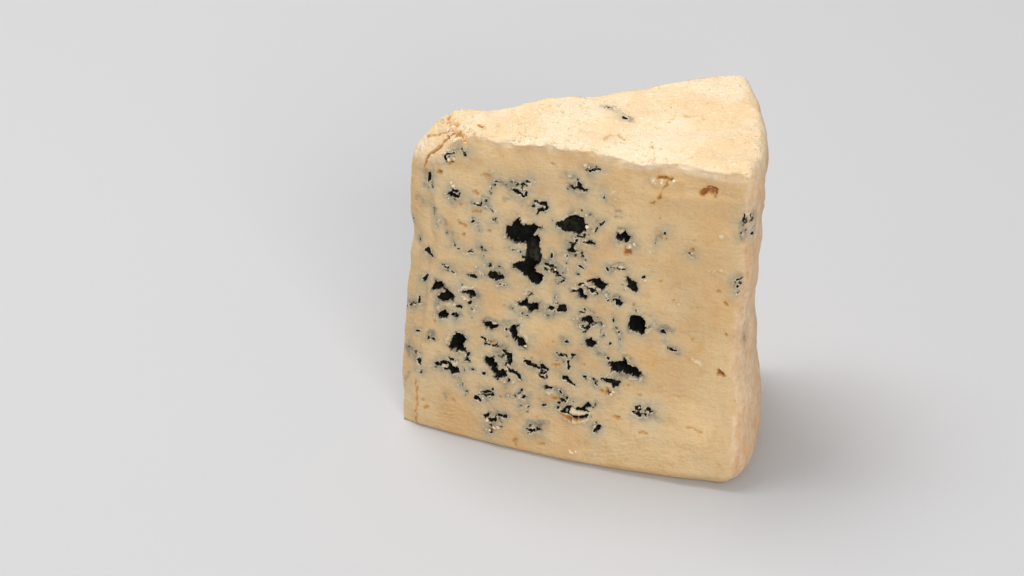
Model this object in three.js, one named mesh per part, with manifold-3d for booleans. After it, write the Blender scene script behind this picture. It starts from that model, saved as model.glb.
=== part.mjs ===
// A wedge cut from a drum of blue cheese: two knife-cut faces, a blunt tip, a slice of waisted rind.
// Millimetres, +Z up, resting on its flat base. +X runs from the tip to the rind, -Y is the front cut.

import * as THREE from 'three';
import { mergeVertices } from 'three/addons/utils/BufferGeometryUtils.js';
import Module from 'manifold-3d';

const wasm = await Module();
wasm.setup();

// The drum that the wedge comes from, and the wedge's corners in plan, measured from the drum's axis.
const HEIGHT_AT_TIP = 95.2;
const HEIGHT_AT_RIND = 96.5;
const RIND_TOP_ROUND = 4.0;
const RIND_FOOT_ROUND = 4.5;
const TIP_SHOULDER_ROUND = 15;
const FRONT_FOOT_ROUND = { tip: 1.5, rind: 6.0 };   // the front cut rolls under where it meets the base
const BACK_FOOT_ROUND = { tip: 1.2, rind: 2.6 };
const FOOT_ROUND_INSET = 0.75;
const WEDGE_LENGTH = 95;

// Rind radius by height: a foot that bulges, a waist, and a rim at the top.
const RIND_PROFILE = [[0, 98.4], [9, 99.5], [20, 98.6], [30, 97.2], [45, 96.6], [57, 96.9], [68, 97.4],
  [77, 98.1], [88, 98.8], [97, 99.0]];

// The tip wanders back and forth as it goes up, where the two cuts met.
const TIP_SETBACK = [[0, 0], [27, 0.1], [34, 0.9], [45, 2.6], [60, 2.9], [67, 2.2], [80, 3.2], [97, 5.4]];

// Corners of the two cuts in plan: [x, y] at the base and at the top.
const FRONT_TIP = { base: [3.5, -3.0], top: [4.4, -3.4] };
const BACK_TIP = { base: [0.0, 1.0], top: [0.4, 4.4] };

// Where each cut meets the rind, in degrees around the axis by height: the blade drifted on its way down.
const FRONT_RIND = [[0, -21.8], [12, -21.4], [26, -19.2], [45, -17.9], [66, -16.9], [97, -16.7]];
const BACK_RIND = [[0, 16.0], [97, 16.4]];

// How far each cut bows out in the middle, at the base and at the top.
const FRONT_BULGE = { base: 3.1, top: -0.6 };
const BACK_BULGE = { base: 0.6, top: -1.6 };

// Unevenness of the hand-cut and hand-ladled surfaces.
const SWELL = { size: 0.55, wavelength: 38 };
const LUMP = { size: 0.28, wavelength: 13 };
const LIP_SAG = 1.1;
const KNIFE_STEP = { size: 0.9, from: 58, drop: 9.5 };

const CELLS = { along: 25, across: 9, up: 26 };
const CELL_CROWDING = 0.5;      // how much closer the rows stand at the rounded edges

// Main cavities of the front cut: mm along from the tip, mm up, width, height, tilt in degrees, depth.
const FRONT_CAVITIES = [
  { at: [28.6, 68.6], size: [8.8, 8.0], tilt: -12, deep: 6.8 },
  { at: [33.8, 69.6], size: [4.8, 3.2], tilt: -10, deep: 3.8 },
  { at: [32.4, 63.2], size: [4.6, 7.6], tilt: 6, deep: 3.2 },
  { at: [30.2, 57.2], size: [10.2, 5.6], tilt: -26, deep: 6.0 },
  { at: [43.2, 73.4], size: [9.4, 5.2], tilt: 4, deep: 5.0 },
  { at: [58.3, 71.1], size: [4.8, 3.6], tilt: 0, deep: 4.2 },
  { at: [5.9, 44.2], size: [8.0, 5.0], tilt: -32, deep: 5.0 },
  { at: [12.0, 30.6], size: [6.2, 6.2], tilt: 20, deep: 5.8 },
  { at: [30.0, 36.6], size: [3.8, 8.2], tilt: 24, deep: 5.2 },
  { at: [30.8, 46.6], size: [7.4, 4.2], tilt: -20, deep: 4.6 },
  { at: [38.7, 58.4], size: [6.4, 3.4], tilt: -16, deep: 3.6 },
  { at: [51.4, 55.4], size: [6.2, 4.2], tilt: -20, deep: 5.2 },
  { at: [46.2, 52.6], size: [4.6, 3.2], tilt: 8, deep: 4.4 },
  { at: [62.0, 57.0], size: [3.8, 5.2], tilt: 25, deep: 3.8 },
  { at: [65.5, 44.4], size: [8.0, 6.2], tilt: -12, deep: 6.4 },
  { at: [50.6, 37.8], size: [4.6, 2.7], tilt: -6, deep: 3.6 },
  { at: [8.8, 22.4], size: [8.0, 3.4], tilt: -28, deep: 3.4 },
  { at: [22.4, 26.4], size: [4.4, 5.2], tilt: 20, deep: 4.8 },
  { at: [25.2, 23.0], size: [5.4, 2.6], tilt: -38, deep: 3.6 },
  { at: [61.0, 31.3], size: [9.9, 5.2], tilt: -6, deep: 6.6 },
  { at: [57.2, 26.4], size: [6.6, 2.9], tilt: 10, deep: 4.0 },
  { at: [46.1, 16.2], size: [9.6, 3.2], tilt: -16, deep: 3.2 },
  { at: [20.8, 53.2], size: [5.2, 3.1], tilt: -4, deep: 3.4 },
  { at: [8.8, 38.9], size: [6.2, 2.9], tilt: -6, deep: 3.6 },
  { at: [21.5, 38.5], size: [5.2, 2.7], tilt: -10, deep: 3.4 },
  { at: [13.1, 46.4], size: [4.8, 2.8], tilt: -15, deep: 3.2 },
  { at: [49.3, 43.6], size: [9.4, 2.4], tilt: -12, deep: 3.2 },
  { at: [34.1, 76.9], size: [2.8, 3.4], tilt: 30, deep: 3.0 },
  { at: [47.0, 90.6], size: [7.6, 2.8], tilt: -8, deep: 1.8 },
  { at: [82.6, 88.2], size: [4.8, 2.4], tilt: 10, deep: 2.2 },
];

// The rest is scattered: how many, where on the cut (mm along and up) and how large.
const FRONT_SCATTER = { count: 12, along: [8, 70], up: [8, 84], wide: [2.4, 4.0], seed: 11 };
const BACK_SCATTER = { count: 26, along: [8, 66], up: [10, 84], wide: [2.6, 9.0], seed: 29 };

// The crack across the top behind the tip, in plan from one cut to the other.
const TIP_CRACK = { from: [13.2, 8.4], to: [17.6, -6.4], wide: 1.5, deep: 2.0 };

const CAVITY_ROUGHNESS = 0.2;
const CAVITY_RAGGEDNESS = 0.12;
const SHORTEST_EDGE = 0.3;
const STEADY_NORMAL = 0.9;      // closing an edge up may not turn a face by more than this cosine

const COLOUR = 0xe9cf9f;

function seeded(seed) {
  let state = seed >>> 0;
  return () => {
    state = (state + 0x6d2b79f5) >>> 0;
    let t = Math.imul(state ^ (state >>> 15), 1 | state);
    t = (t + Math.imul(t ^ (t >>> 7), 61 | t)) ^ t;
    return ((t ^ (t >>> 14)) >>> 0) / 4294967296;
  };
}

const { lerp, smoothstep, clamp } = THREE.MathUtils;

// Smooth unevenness in space, between about -1 and 1: a sum of plane waves in random directions.
function unevenness(seed, wavelength, waves = 9) {
  const random = seeded(seed);
  const set = Array.from({ length: waves }, () => {
    const slope = Math.acos(2 * random() - 1), turn = 2 * Math.PI * random();
    const steps = (2 * Math.PI / wavelength) * lerp(0.6, 1.5, random());
    return {
      direction: new THREE.Vector3().setFromSphericalCoords(steps, slope, turn),
      phase: 2 * Math.PI * random(),
    };
  });
  return (p) => set.reduce((sum, w) => sum + Math.sin(w.direction.dot(p) + w.phase), 0) / Math.sqrt(waves);
}

// Value of a list of [height, value] pairs at a height, eased from one to the next.
function profile(pairs, height) {
  const last = pairs.length - 1;
  if (height <= pairs[0][0]) return pairs[0][1];
  for (let i = 0; i < last; i += 1) {
    const [z0, v0] = pairs[i], [z1, v1] = pairs[i + 1];
    if (height <= z1) return lerp(v0, v1, smoothstep(height, z0, z1));
  }
  return pairs[last][1];
}

const byHeight = (pair, share) => (Array.isArray(pair.base)
  ? pair.base.map((v, i) => lerp(v, pair.top[i], share)) : lerp(pair.base, pair.top, share));

// Plan position for a share s of the way from tip to rind, a share b from front to back, at height z.
function plan(s, b, z) {
  const share = clamp(z / HEIGHT_AT_RIND, 0, 1);
  const setback = profile(TIP_SETBACK, z);
  const [frontTip, backTip] = [byHeight(FRONT_TIP, share), byHeight(BACK_TIP, share)];
  const tip = [lerp(frontTip[0], backTip[0], b) + setback, lerp(frontTip[1], backTip[1], b)];
  const angle = THREE.MathUtils.degToRad(lerp(profile(FRONT_RIND, z), profile(BACK_RIND, z), b));
  const radius = profile(RIND_PROFILE, z);
  const rind = [radius * Math.cos(angle), radius * Math.sin(angle)];
  const bow = Math.sin(Math.PI * s) ** 1.2;
  const roll = (foot) => {
    const r = lerp(foot.tip, foot.rind, s ** 2);
    return FOOT_ROUND_INSET * r * Math.max(0, 1 - z / r) ** 2;
  };
  const front = bow * byHeight(FRONT_BULGE, share) - roll(FRONT_FOOT_ROUND);
  const back = bow * byHeight(BACK_BULGE, share) - roll(BACK_FOOT_ROUND);
  return [lerp(tip[0], rind[0], s), lerp(tip[1], rind[1], s) - front * (1 - b) ** 2 + back * b ** 2];
}

// Bends the square corners of the long section (along, up) into rounds: rind top, rind foot, tip shoulder.
function roundedSection(x, z, length, height) {
  const corners = [
    [length, height, RIND_TOP_ROUND], [length, 0, RIND_FOOT_ROUND], [0, height, TIP_SHOULDER_ROUND]];
  for (const [cx, cz, r] of corners) {
    const inward = [Math.sign(length / 2 - cx) * r, Math.sign(height / 2 - cz) * r];
    const dx = (x - (cx + inward[0])) / -inward[0], dz = (z - (cz + inward[1])) / -inward[1];
    if (dx > 0 && dz > 0) {
      const pull = Math.max(dx, dz) / Math.hypot(dx, dz);
      return [cx + inward[0] * (1 - dx * pull), cz + inward[1] * (1 - dz * pull)];
    }
  }
  return [x, z];
}

const swell = [1, 2, 3].map((seed) => unevenness(seed, SWELL.wavelength));
const lump = [4, 5, 6].map((seed) => unevenness(seed, LUMP.wavelength));
const lipWave = unevenness(7, 17);

// The outside of the wedge for box shares a (tip to rind), b (front to back) and c (base to top).
function surface(a, b, c) {
  const fullHeight = lerp(HEIGHT_AT_TIP, HEIGHT_AT_RIND, a);
  const [x, z] = roundedSection(a * WEDGE_LENGTH, c * fullHeight, WEDGE_LENGTH, fullHeight);
  const [px, py] = plan(x / WEDGE_LENGTH, b, z);
  const p = new THREE.Vector3(px, py, z);
  const lift = smoothstep(z, 0, 9);                       // the base stays flat
  const uneven = (i) => SWELL.size * swell[i](p) + LUMP.size * lump[i](p);
  const edge = Math.abs(2 * b - 1) ** 6;                  // the lips of the cuts sag a little
  const sag = smoothstep(c, 0.9, 1) * edge * LIP_SAG * (0.5 + 0.5 * lipWave(p));
  const step = b === 0 ? KNIFE_STEP.size * smoothstep(x, KNIFE_STEP.from, KNIFE_STEP.from + 8)
    * smoothstep(z, fullHeight - KNIFE_STEP.drop - 1.5, fullHeight - KNIFE_STEP.drop + 1.5) : 0;
  return new THREE.Vector3(
    px + uneven(0) * (0.35 + 0.65 * lift), py + step + uneven(1) * (0.35 + 0.65 * lift),
    z + (uneven(2) - sag) * lift);
}

const crowded = (u) => u - (CELL_CROWDING * Math.sin(2 * Math.PI * u)) / (2 * Math.PI);

function positionsOnly(geometry) {
  geometry.deleteAttribute('normal');
  geometry.deleteAttribute('uv');
  return mergeVertices(geometry, 1e-5);
}

function wedgeBody() {
  const geometry = positionsOnly(new THREE.BoxGeometry(1, 1, 1, CELLS.along, CELLS.across, CELLS.up));
  const position = geometry.attributes.position;
  for (let i = 0; i < position.count; i += 1) {
    const share = [position.getX(i), position.getY(i), position.getZ(i)].map((v) => clamp(v + 0.5, 0, 1));
    const p = surface(crowded(share[0]), share[1], crowded(share[2]));
    position.setXYZ(i, p.x, p.y, p.z);
  }
  return geometry;
}

// A place on a cut (b is 0 on the front, 1 on the back), with its directions along, up and out.
function placeOnCut(b, along, up) {
  const height = lerp(HEIGHT_AT_TIP, HEIGHT_AT_RIND, along / WEDGE_LENGTH);
  const at = (da, du) => surface((along + da) / WEDGE_LENGTH, b, (up + du) / height);
  const alongAxis = at(2, 0).sub(at(-2, 0)).normalize();
  const upAxis = at(0, 2).sub(at(0, -2)).normalize();
  const outAxis = new THREE.Vector3().crossVectors(alongAxis, upAxis).normalize().multiplyScalar(b ? -1 : 1);
  return { centre: at(0, 0), alongAxis, upAxis, outAxis };
}

// One cavity: a rough ball, stretched to its mouth's width and height and its depth, half sunk in a cut.
function cavity(b, { at: [along, up], size: [wide, high], tilt, deep }, seed) {
  const { centre, alongAxis, upAxis, outAxis } = placeOnCut(b, along, up);
  const turn = THREE.MathUtils.degToRad(tilt);
  const rough = unevenness(seed, 2.6, 6), ragged = unevenness(seed + 50, 1.1, 6);
  const geometry = positionsOnly(new THREE.IcosahedronGeometry(1, wide + high > 9 ? 2 : 1));
  const position = geometry.attributes.position;
  const p = new THREE.Vector3();
  for (let i = 0; i < position.count; i += 1) {
    p.fromBufferAttribute(position, i).normalize();
    p.multiplyScalar(1 + CAVITY_ROUGHNESS * rough(p) + CAVITY_RAGGEDNESS * ragged(p));
    const u = p.x * wide * 0.5, v = p.y * high * 0.5, w = (p.z + 0.12) * deep;
    const ru = u * Math.cos(turn) - v * Math.sin(turn), rv = u * Math.sin(turn) + v * Math.cos(turn);
    const q = centre.clone().addScaledVector(alongAxis, ru).addScaledVector(upAxis, rv)
      .addScaledVector(outAxis, -w);
    position.setXYZ(i, q.x, q.y, q.z);
  }
  if (!b) flipFaces(geometry);
  return geometry;
}

// The crack: a long thin ball laid in the top.
function crack({ from, to, wide, deep }) {
  const ends = [from, to].map(([x, y]) => new THREE.Vector3(x, y, HEIGHT_AT_TIP));
  const geometry = positionsOnly(new THREE.IcosahedronGeometry(1, 2));
  const run = ends[1].clone().sub(ends[0]);
  geometry.scale(run.length() / 2, wide / 2, deep);
  geometry.rotateZ(Math.atan2(run.y, run.x));
  const middle = ends[0].add(ends[1]).multiplyScalar(0.5);
  geometry.translate(middle.x, middle.y, middle.z);
  return geometry;
}

function flipFaces(geometry) {
  const { array } = geometry.index;
  for (let i = 0; i < array.length; i += 3) [array[i], array[i + 1]] = [array[i + 1], array[i]];
}

function scattered({ count, along, up, wide, seed }) {
  const random = seeded(seed);
  return Array.from({ length: count }, () => {
    const width = lerp(wide[0], wide[1], random() ** 2.2);
    return {
      at: [lerp(...along, random() ** 0.9), lerp(...up, random())],
      size: [width, width * lerp(0.4, 0.85, random())],
      tilt: lerp(-40, 30, random()),
      deep: width * lerp(0.5, 0.8, random()),
    };
  });
}

function toSolid(geometry) {
  return new wasm.Manifold(new wasm.Mesh({
    numProp: 3,
    vertProperties: new Float32Array(geometry.attributes.position.array),
    triVerts: new Uint32Array(geometry.index.array),
  }));
}

// Points and triangles of a solid, with every edge shorter than SHORTEST_EDGE closed up.
function toGeometry(solid) {
  const mesh = solid.getMesh();
  const points = Array.from({ length: mesh.vertProperties.length / 3 },
    (_, i) => new THREE.Vector3().fromArray(mesh.vertProperties, 3 * i));
  const faces = Array.from({ length: mesh.triVerts.length / 3 },
    (_, i) => Array.from(mesh.triVerts.subarray(3 * i, 3 * i + 3)));
  const facesOf = points.map(() => new Set());
  faces.forEach((face, f) => face.forEach((v) => facesOf[v].add(f)));
  const ring = (v) => new Set([...facesOf[v]].flatMap((f) => faces[f]).filter((w) => w !== v));

  const triangle = (corners) => new THREE.Triangle(...corners.map((v) => points[v]));
  const normalOf = (corners) => triangle(corners).getNormal(new THREE.Vector3());

  // How steady the faces around a point stay when it moves to its neighbour: the least cosine of their turns.
  const steadiness = (keep, drop) => Math.min(1, ...[...facesOf[drop]]
    .filter((f) => !faces[f].includes(keep) && triangle(faces[f]).getArea() > 1e-3)
    .map((f) => normalOf(faces[f]).dot(normalOf(faces[f].map((v) => (v === drop ? keep : v))))));

  function closeUp(keep, drop) {
    const dropRing = ring(drop);
    if ([...ring(keep)].filter((w) => dropRing.has(w)).length !== 2) return false;
    if (steadiness(keep, drop) < STEADY_NORMAL) return false;
    for (const f of [...facesOf[drop]]) {
      if (faces[f].includes(keep)) {
        faces[f].forEach((v) => facesOf[v].delete(f));
        faces[f] = null;
      } else {
        faces[f] = faces[f].map((v) => (v === drop ? keep : v));
        facesOf[keep].add(f);
      }
    }
    facesOf[drop].clear();
    return true;
  }

  for (let again = true; again;) {
    again = false;
    for (let f = 0; f < faces.length; f += 1) {
      for (let k = 0; faces[f] && k < 3; k += 1) {
        const [a, b] = [faces[f][k], faces[f][(k + 1) % 3]];
        if (points[a].distanceTo(points[b]) >= SHORTEST_EDGE) continue;
        if (steadiness(a, b) > steadiness(b, a) ? closeUp(a, b) : closeUp(b, a)) again = true;
      }
    }
  }
  const geometry = new THREE.BufferGeometry().setFromPoints(points);
  geometry.setIndex(faces.filter(Boolean).flat());
  return positionsOnly(geometry.toNonIndexed());
}

const cavities = [
  ...FRONT_CAVITIES.map((c, i) => cavity(0, c, 100 + i)),
  ...scattered(FRONT_SCATTER).map((c, i) => cavity(0, c, 200 + i)),
  ...scattered(BACK_SCATTER).map((c, i) => cavity(1, c, 300 + i)),
  crack(TIP_CRACK),
];
const hollows = cavities.map(toSolid).reduce((joined, one) => joined.add(one));
const cut = toSolid(wedgeBody()).subtract(hollows);
const largest = cut.decompose().reduce((a, b) => (b.volume() > a.volume() ? b : a));

const wedge = toGeometry(largest);
wedge.computeBoundingBox();
const box = wedge.boundingBox;
wedge.translate(-(box.min.x + box.max.x) / 2, -(box.min.y + box.max.y) / 2, -box.min.z);
wedge.computeVertexNormals();

const cheeseWedge = new THREE.Mesh(
  wedge, new THREE.MeshStandardMaterial({ color: COLOUR, roughness: 0.62, metalness: 0 }));
cheeseWedge.name = 'cheese_wedge';

const model = new THREE.Group();
model.add(cheeseWedge);

export default model;
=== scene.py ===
# A wedge of blue cheese, standing on its base: cut faces with mould-lined cavities under a pale rind.
# Shapes are worked out in millimetres from the axis of the drum that the wedge was cut from, then moved
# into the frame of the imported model, in metres.

import math

import bpy
import numpy as np
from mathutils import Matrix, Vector


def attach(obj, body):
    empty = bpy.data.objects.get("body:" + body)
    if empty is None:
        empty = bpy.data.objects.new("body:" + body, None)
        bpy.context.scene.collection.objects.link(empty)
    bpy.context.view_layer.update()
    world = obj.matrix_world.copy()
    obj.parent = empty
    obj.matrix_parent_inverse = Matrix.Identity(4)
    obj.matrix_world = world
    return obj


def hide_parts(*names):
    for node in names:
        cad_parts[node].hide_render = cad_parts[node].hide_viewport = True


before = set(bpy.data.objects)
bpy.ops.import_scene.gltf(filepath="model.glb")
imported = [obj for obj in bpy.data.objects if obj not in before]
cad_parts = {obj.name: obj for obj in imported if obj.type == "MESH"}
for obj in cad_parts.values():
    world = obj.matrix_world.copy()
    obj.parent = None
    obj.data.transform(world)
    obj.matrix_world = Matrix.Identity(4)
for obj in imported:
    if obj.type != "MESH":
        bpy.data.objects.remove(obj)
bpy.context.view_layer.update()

# The cheese: one piece of pressed curd, cut from its drum by two strokes of a long blade. The drum was
# pierced and ripened, so blue mould lines the cavities that the cuts open, and a thin pale rind covers the
# top, the side and the base. Its whole outside is one skin of points, worked out here.
HEIGHT_AT_TIP = 95.2
HEIGHT_AT_RIND = 96.5
WEDGE_LENGTH = 95.0
RIND_TOP_ROUND = 4.0
RIND_FOOT_ROUND = 4.5
TIP_SHOULDER_ROUND = 15.0
FRONT_FOOT_ROUND = (1.5, 6.0)       # at the tip and at the rind
BACK_FOOT_ROUND = (1.2, 2.6)
FOOT_ROUND_INSET = 0.75
TIP_ROUND_INSET = 0.45
RIND_PROFILE = [(0, 98.4), (9, 99.5), (20, 98.6), (30, 97.2), (45, 96.6), (57, 96.9), (68, 97.4),
                (77, 98.1), (88, 98.8), (97, 99.0)]
TIP_SETBACK = [(0, 0), (27, 0.1), (34, 0.9), (45, 2.6), (60, 2.9), (67, 2.2), (80, 3.2), (97, 5.4)]
FRONT_TIP = ((3.5, -3.0), (4.4, -3.4))      # each cut's corner in plan, at the base and at the top
BACK_TIP = ((0.0, 1.0), (0.4, 4.4))
FRONT_RIND = [(0, -21.8), (12, -21.4), (26, -19.2), (45, -17.9), (66, -16.9), (97, -16.7)]
BACK_RIND = [(0, 16.0), (97, 16.4)]
FRONT_BULGE = (3.1, -0.6)           # how far each cut bows out half way along, at the base and at the top
BACK_BULGE = (0.6, -1.6)
BULGE_POWER = 1.2
SWELL, SWELL_WAVELENGTH = 0.55, 38
LUMP, LUMP_WAVELENGTH = 0.28, 13
UNEVEN_FROM, FOOT_SHARE = 9, 0.35   # below this height the swells shrink, to this share at the base
LIP_SAG, LIP_FROM = 1.1, 0.9
RIND_WIDTH = 62                     # between the two cuts, round the rind
TIP_ROUND = [(0, 0.5), (20, 0.9), (34, 2.4), (80, 3.4), (97, 2.6)]      # round of the tip's front corner
RIND_ROUND = [(0, 5), (30, 4.4), (60, 3.6), (88, 4.2), (97, 2)]         # round of the rind's front corner
RIND_ROUND_INSET = 0.3
PAST_ROUND = 2.5                    # how many of its radii past a corner its round still pulls
KNOB, KNOB_AT, KNOB_REACH = 1.5, (9, 93), (8, 5)        # swelling of the rind on the shoulder over the tip
KNOB_IN, KNOB_UP = 0.35, 0.9
LIP_RAG, LIP_RAG_REACH, LIP_RAG_FADE = 0.5, 1.6, 14     # the torn edge of the rind over the front cut
KNIFE_STEP, KNIFE_STEP_FADE = 0.9, 9                    # the step that the blade left below the lip
KNIFE_STEP_FROM, KNIFE_STEP_RUN, KNIFE_STEP_DROP, KNIFE_STEP_HALF = 58, 8, 9.5, 1.5
MM = 0.001


def seeded(seed):
    """Steady stream of numbers from 0 to 1: each draw steps a 32-bit state and mixes its bits."""
    whole = 0xffffffff
    state = seed

    def draw():
        nonlocal state
        state = (state + 0x6d2b79f5) & whole
        t = ((state ^ (state >> 15)) * (1 | state)) & whole
        t = ((t + (t ^ (t >> 7)) * (61 | t)) & whole) ^ t
        return ((t ^ (t >> 14)) & whole) / (whole + 1)

    return draw


def lerp(start, end, share):
    return start + (end - start) * share


def smoothstep(x, low, high):
    """0 below low, 1 above high, and an S curve between them."""
    t = np.clip((x - low) / (high - low), 0, 1)
    return t * t * (3 - 2 * t)


def unevenness(seed, wavelength, waves=9):
    """Sum of plane waves in random directions, their lengths spread round the wavelength, about -1 to 1."""
    draw = seeded(seed)
    steps, phases = [], []
    for _ in range(waves):
        slope, turn = math.acos(2 * draw() - 1), 2 * math.pi * draw()
        size = 2 * math.pi / wavelength * lerp(0.6, 1.5, draw())
        steps.append((size * math.sin(slope) * math.sin(turn), size * math.cos(slope),
                      size * math.sin(slope) * math.cos(turn)))
        phases.append(2 * math.pi * draw())
    steps, phases = np.array(steps), np.array(phases)

    def at(points):
        return np.sin(points @ steps[:, :points.shape[-1]].T + phases).sum(-1) / math.sqrt(waves)

    return at


def profile(pairs, height):
    """Value at each height of a list of (height, value) pairs, eased from one pair to the next."""
    heights, values = np.transpose(pairs).astype(float)
    i = np.clip(np.searchsorted(heights, height) - 1, 0, len(heights) - 2)
    return lerp(values[i], values[i + 1], smoothstep(height, heights[i], heights[i + 1]))


def plan(s, b, z):
    """Plan position at a share s from tip to rind and b from front to back, at height z: a straight line
    from the tip corner to the rind's arc, bowed sideways by half a sine wave, rolled in near the base. The
    two front corners are rounded by pulls that fall with the square of the distance past each corner."""
    share = np.clip(z / HEIGHT_AT_RIND, 0, 1)
    front_tip, back_tip = [[lerp(base, top, share) for base, top in zip(*corner)]
                           for corner in (FRONT_TIP, BACK_TIP)]
    tip_x = lerp(front_tip[0], back_tip[0], b) + profile(TIP_SETBACK, z)
    tip_y = lerp(front_tip[1], back_tip[1], b)
    angle = np.radians(lerp(profile(FRONT_RIND, z), profile(BACK_RIND, z), b))
    radius = profile(RIND_PROFILE, z)
    bow = np.sin(np.pi * np.clip(s, 0, 1)) ** BULGE_POWER

    def roll(foot):
        r = lerp(*foot, s ** 2)
        return FOOT_ROUND_INSET * r * np.maximum(0, 1 - z / r) ** 2

    front = bow * lerp(*FRONT_BULGE, share) - roll(FRONT_FOOT_ROUND)
    back = bow * lerp(*BACK_BULGE, share) - roll(BACK_FOOT_ROUND)
    x = lerp(tip_x, radius * np.cos(angle), s)
    y = lerp(tip_y, radius * np.sin(angle), s) - front * (1 - b) ** 2 + back * b ** 2
    across = b * lerp(np.hypot(front_tip[0] - back_tip[0], front_tip[1] - back_tip[1]), RIND_WIDTH, s)
    for r, inset, run in ((profile(TIP_ROUND, z), TIP_ROUND_INSET, s * WEDGE_LENGTH),
                          (profile(RIND_ROUND, z), -RIND_ROUND_INSET, (1 - s) * WEDGE_LENGTH)):
        near_cut, near_end = np.maximum(0, 1 - across / r), np.maximum(0, 1 - run / r)
        past_cut = np.maximum(0, 1 - across / (PAST_ROUND * r))
        past_end = np.maximum(0, 1 - run / (PAST_ROUND * r))
        x = x + inset * r * near_cut ** 2 * past_end ** 2
        y = y + abs(inset) * r * near_end ** 2 * past_cut ** 2
    return x, y


def rounded_section(x, z, length, height):
    """Bends three square corners of the long section into rounds: a point past the centre of a corner's
    round, both ways, is pulled in until its larger share of the radius is its distance."""
    new_x, new_z = x.copy(), z.copy()
    corners = [(length, height, RIND_TOP_ROUND), (length, 0, RIND_FOOT_ROUND),
               (0, height, TIP_SHOULDER_ROUND)]
    for corner_x, corner_z, r in corners:
        in_x = np.sign(length / 2 - corner_x) * r
        in_z = np.sign(height / 2 - corner_z) * r
        dx = (x - (corner_x + in_x)) / -in_x
        dz = (z - (corner_z + in_z)) / -in_z
        pull = np.maximum(dx, dz) / np.maximum(np.hypot(dx, dz), 1e-9)
        inside = (dx > 0) & (dz > 0)
        new_x = np.where(inside, corner_x + in_x * (1 - dx * pull), new_x)
        new_z = np.where(inside, corner_z + in_z * (1 - dz * pull), new_z)
    return new_x, new_z


swell = [unevenness(seed, SWELL_WAVELENGTH) for seed in (1, 2, 3)]
lump = [unevenness(seed, LUMP_WAVELENGTH) for seed in (4, 5, 6)]
lip_wave = unevenness(7, 17)
lip_tears = [unevenness(8, 7, 12), unevenness(9, 2.6, 12)]


def surface(a, b, c):
    """Outside of the wedge for box shares a (tip to rind), b (front to back) and c (base to top): the
    rounded section swept in plan, with swells and lumps added, a lip that sags and is torn, a step left by
    the blade, and a knob, which falls off with the square of the distance like a bell curve."""
    a, b, c = np.broadcast_arrays(*[np.asarray(share, float) for share in (a, b, c)])
    height = lerp(HEIGHT_AT_TIP, HEIGHT_AT_RIND, a)
    x, z = rounded_section(a * WEDGE_LENGTH, c * height, WEDGE_LENGTH, height)
    px, py = plan(x / WEDGE_LENGTH, b, z)
    p = np.stack([px, py, z], -1)
    lift = smoothstep(z, 0, UNEVEN_FROM)
    uneven = [SWELL * swell[i](p) + LUMP * lump[i](p) for i in range(3)]
    sag = smoothstep(c, LIP_FROM, 1) * np.abs(2 * b - 1) ** 6 * LIP_SAG * (0.5 + 0.5 * lip_wave(p))
    below_top = z - (height - KNIFE_STEP_DROP)
    step = (KNIFE_STEP * np.maximum(0, 1 - KNIFE_STEP_FADE * b)
            * smoothstep(below_top, -KNIFE_STEP_HALF, KNIFE_STEP_HALF)
            * smoothstep(x, KNIFE_STEP_FROM, KNIFE_STEP_FROM + KNIFE_STEP_RUN))
    torn = smoothstep(c * height, height - LIP_RAG_REACH, height) * np.maximum(0, 1 - LIP_RAG_FADE * b) ** 2
    rag = LIP_RAG * torn * (0.35 + lip_tears[0](p) + 0.6 * lip_tears[1](p))
    part = lerp(FOOT_SHARE, 1, lift)
    knob = KNOB * np.exp(-((x - KNOB_AT[0]) / KNOB_REACH[0]) ** 2 - ((z - KNOB_AT[1]) / KNOB_REACH[1]) ** 2)
    return np.stack([px - KNOB_IN * knob + uneven[0] * part, py + step - rag + uneven[1] * part,
                     z + KNOB_UP * knob + (uneven[2] - sag) * lift], -1)


# Texture of the outside, finer than the swells: soft unevenness everywhere and a coarser grain on the rind.
# The crack runs across the top behind the tip, along a ragged path in plan.
SOFT_GRAIN, SOFT_GRAIN_WAVELENGTH = 0.05, 5.0
RIND_GRAIN, RIND_GRAIN_WAVELENGTH = 0.07, 2.6
RIND_LUMP, RIND_LUMP_WAVELENGTH = 0.10, 7.5
TIP_CRACK = [(11.6, 9.6), (13.4, 6.2), (13.0, 3.4), (15.6, 0.6), (15.2, -2.2), (17.0, -4.4), (17.9, -7.4)]
TIP_CRACK_WIDE, TIP_CRACK_DEEP, TIP_CRACK_RAG = 1.3, 1.9, 0.5
TIP_CRACK_ENDS = (9, 3)             # it closes between these depths below the top

soft_grain = [unevenness(seed, SOFT_GRAIN_WAVELENGTH, 14) for seed in (21, 22, 23)]
rind_grain = [unevenness(seed, RIND_GRAIN_WAVELENGTH, 18) for seed in (24, 25, 26)]
rind_lump = [unevenness(seed, RIND_LUMP_WAVELENGTH, 14) for seed in (27, 28, 29)]
ragged = [unevenness(seed, 1.7, 12) for seed in (31, 32)]


def to_path(points, path):
    """Distance from each plane point to a path of straight runs; a path of one point is a dot."""
    path = np.asarray(path, float)
    if len(path) == 1:
        path = np.repeat(path, 2, 0)
    best = np.full(len(points), np.inf)
    for start, end in zip(path[:-1], path[1:]):
        run = end - start
        t = np.clip((points - start) @ run / max(run @ run, 1e-9), 0, 1)
        best = np.minimum(best, np.hypot(*(points - start - t[:, None] * run).T))
    return best


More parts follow.
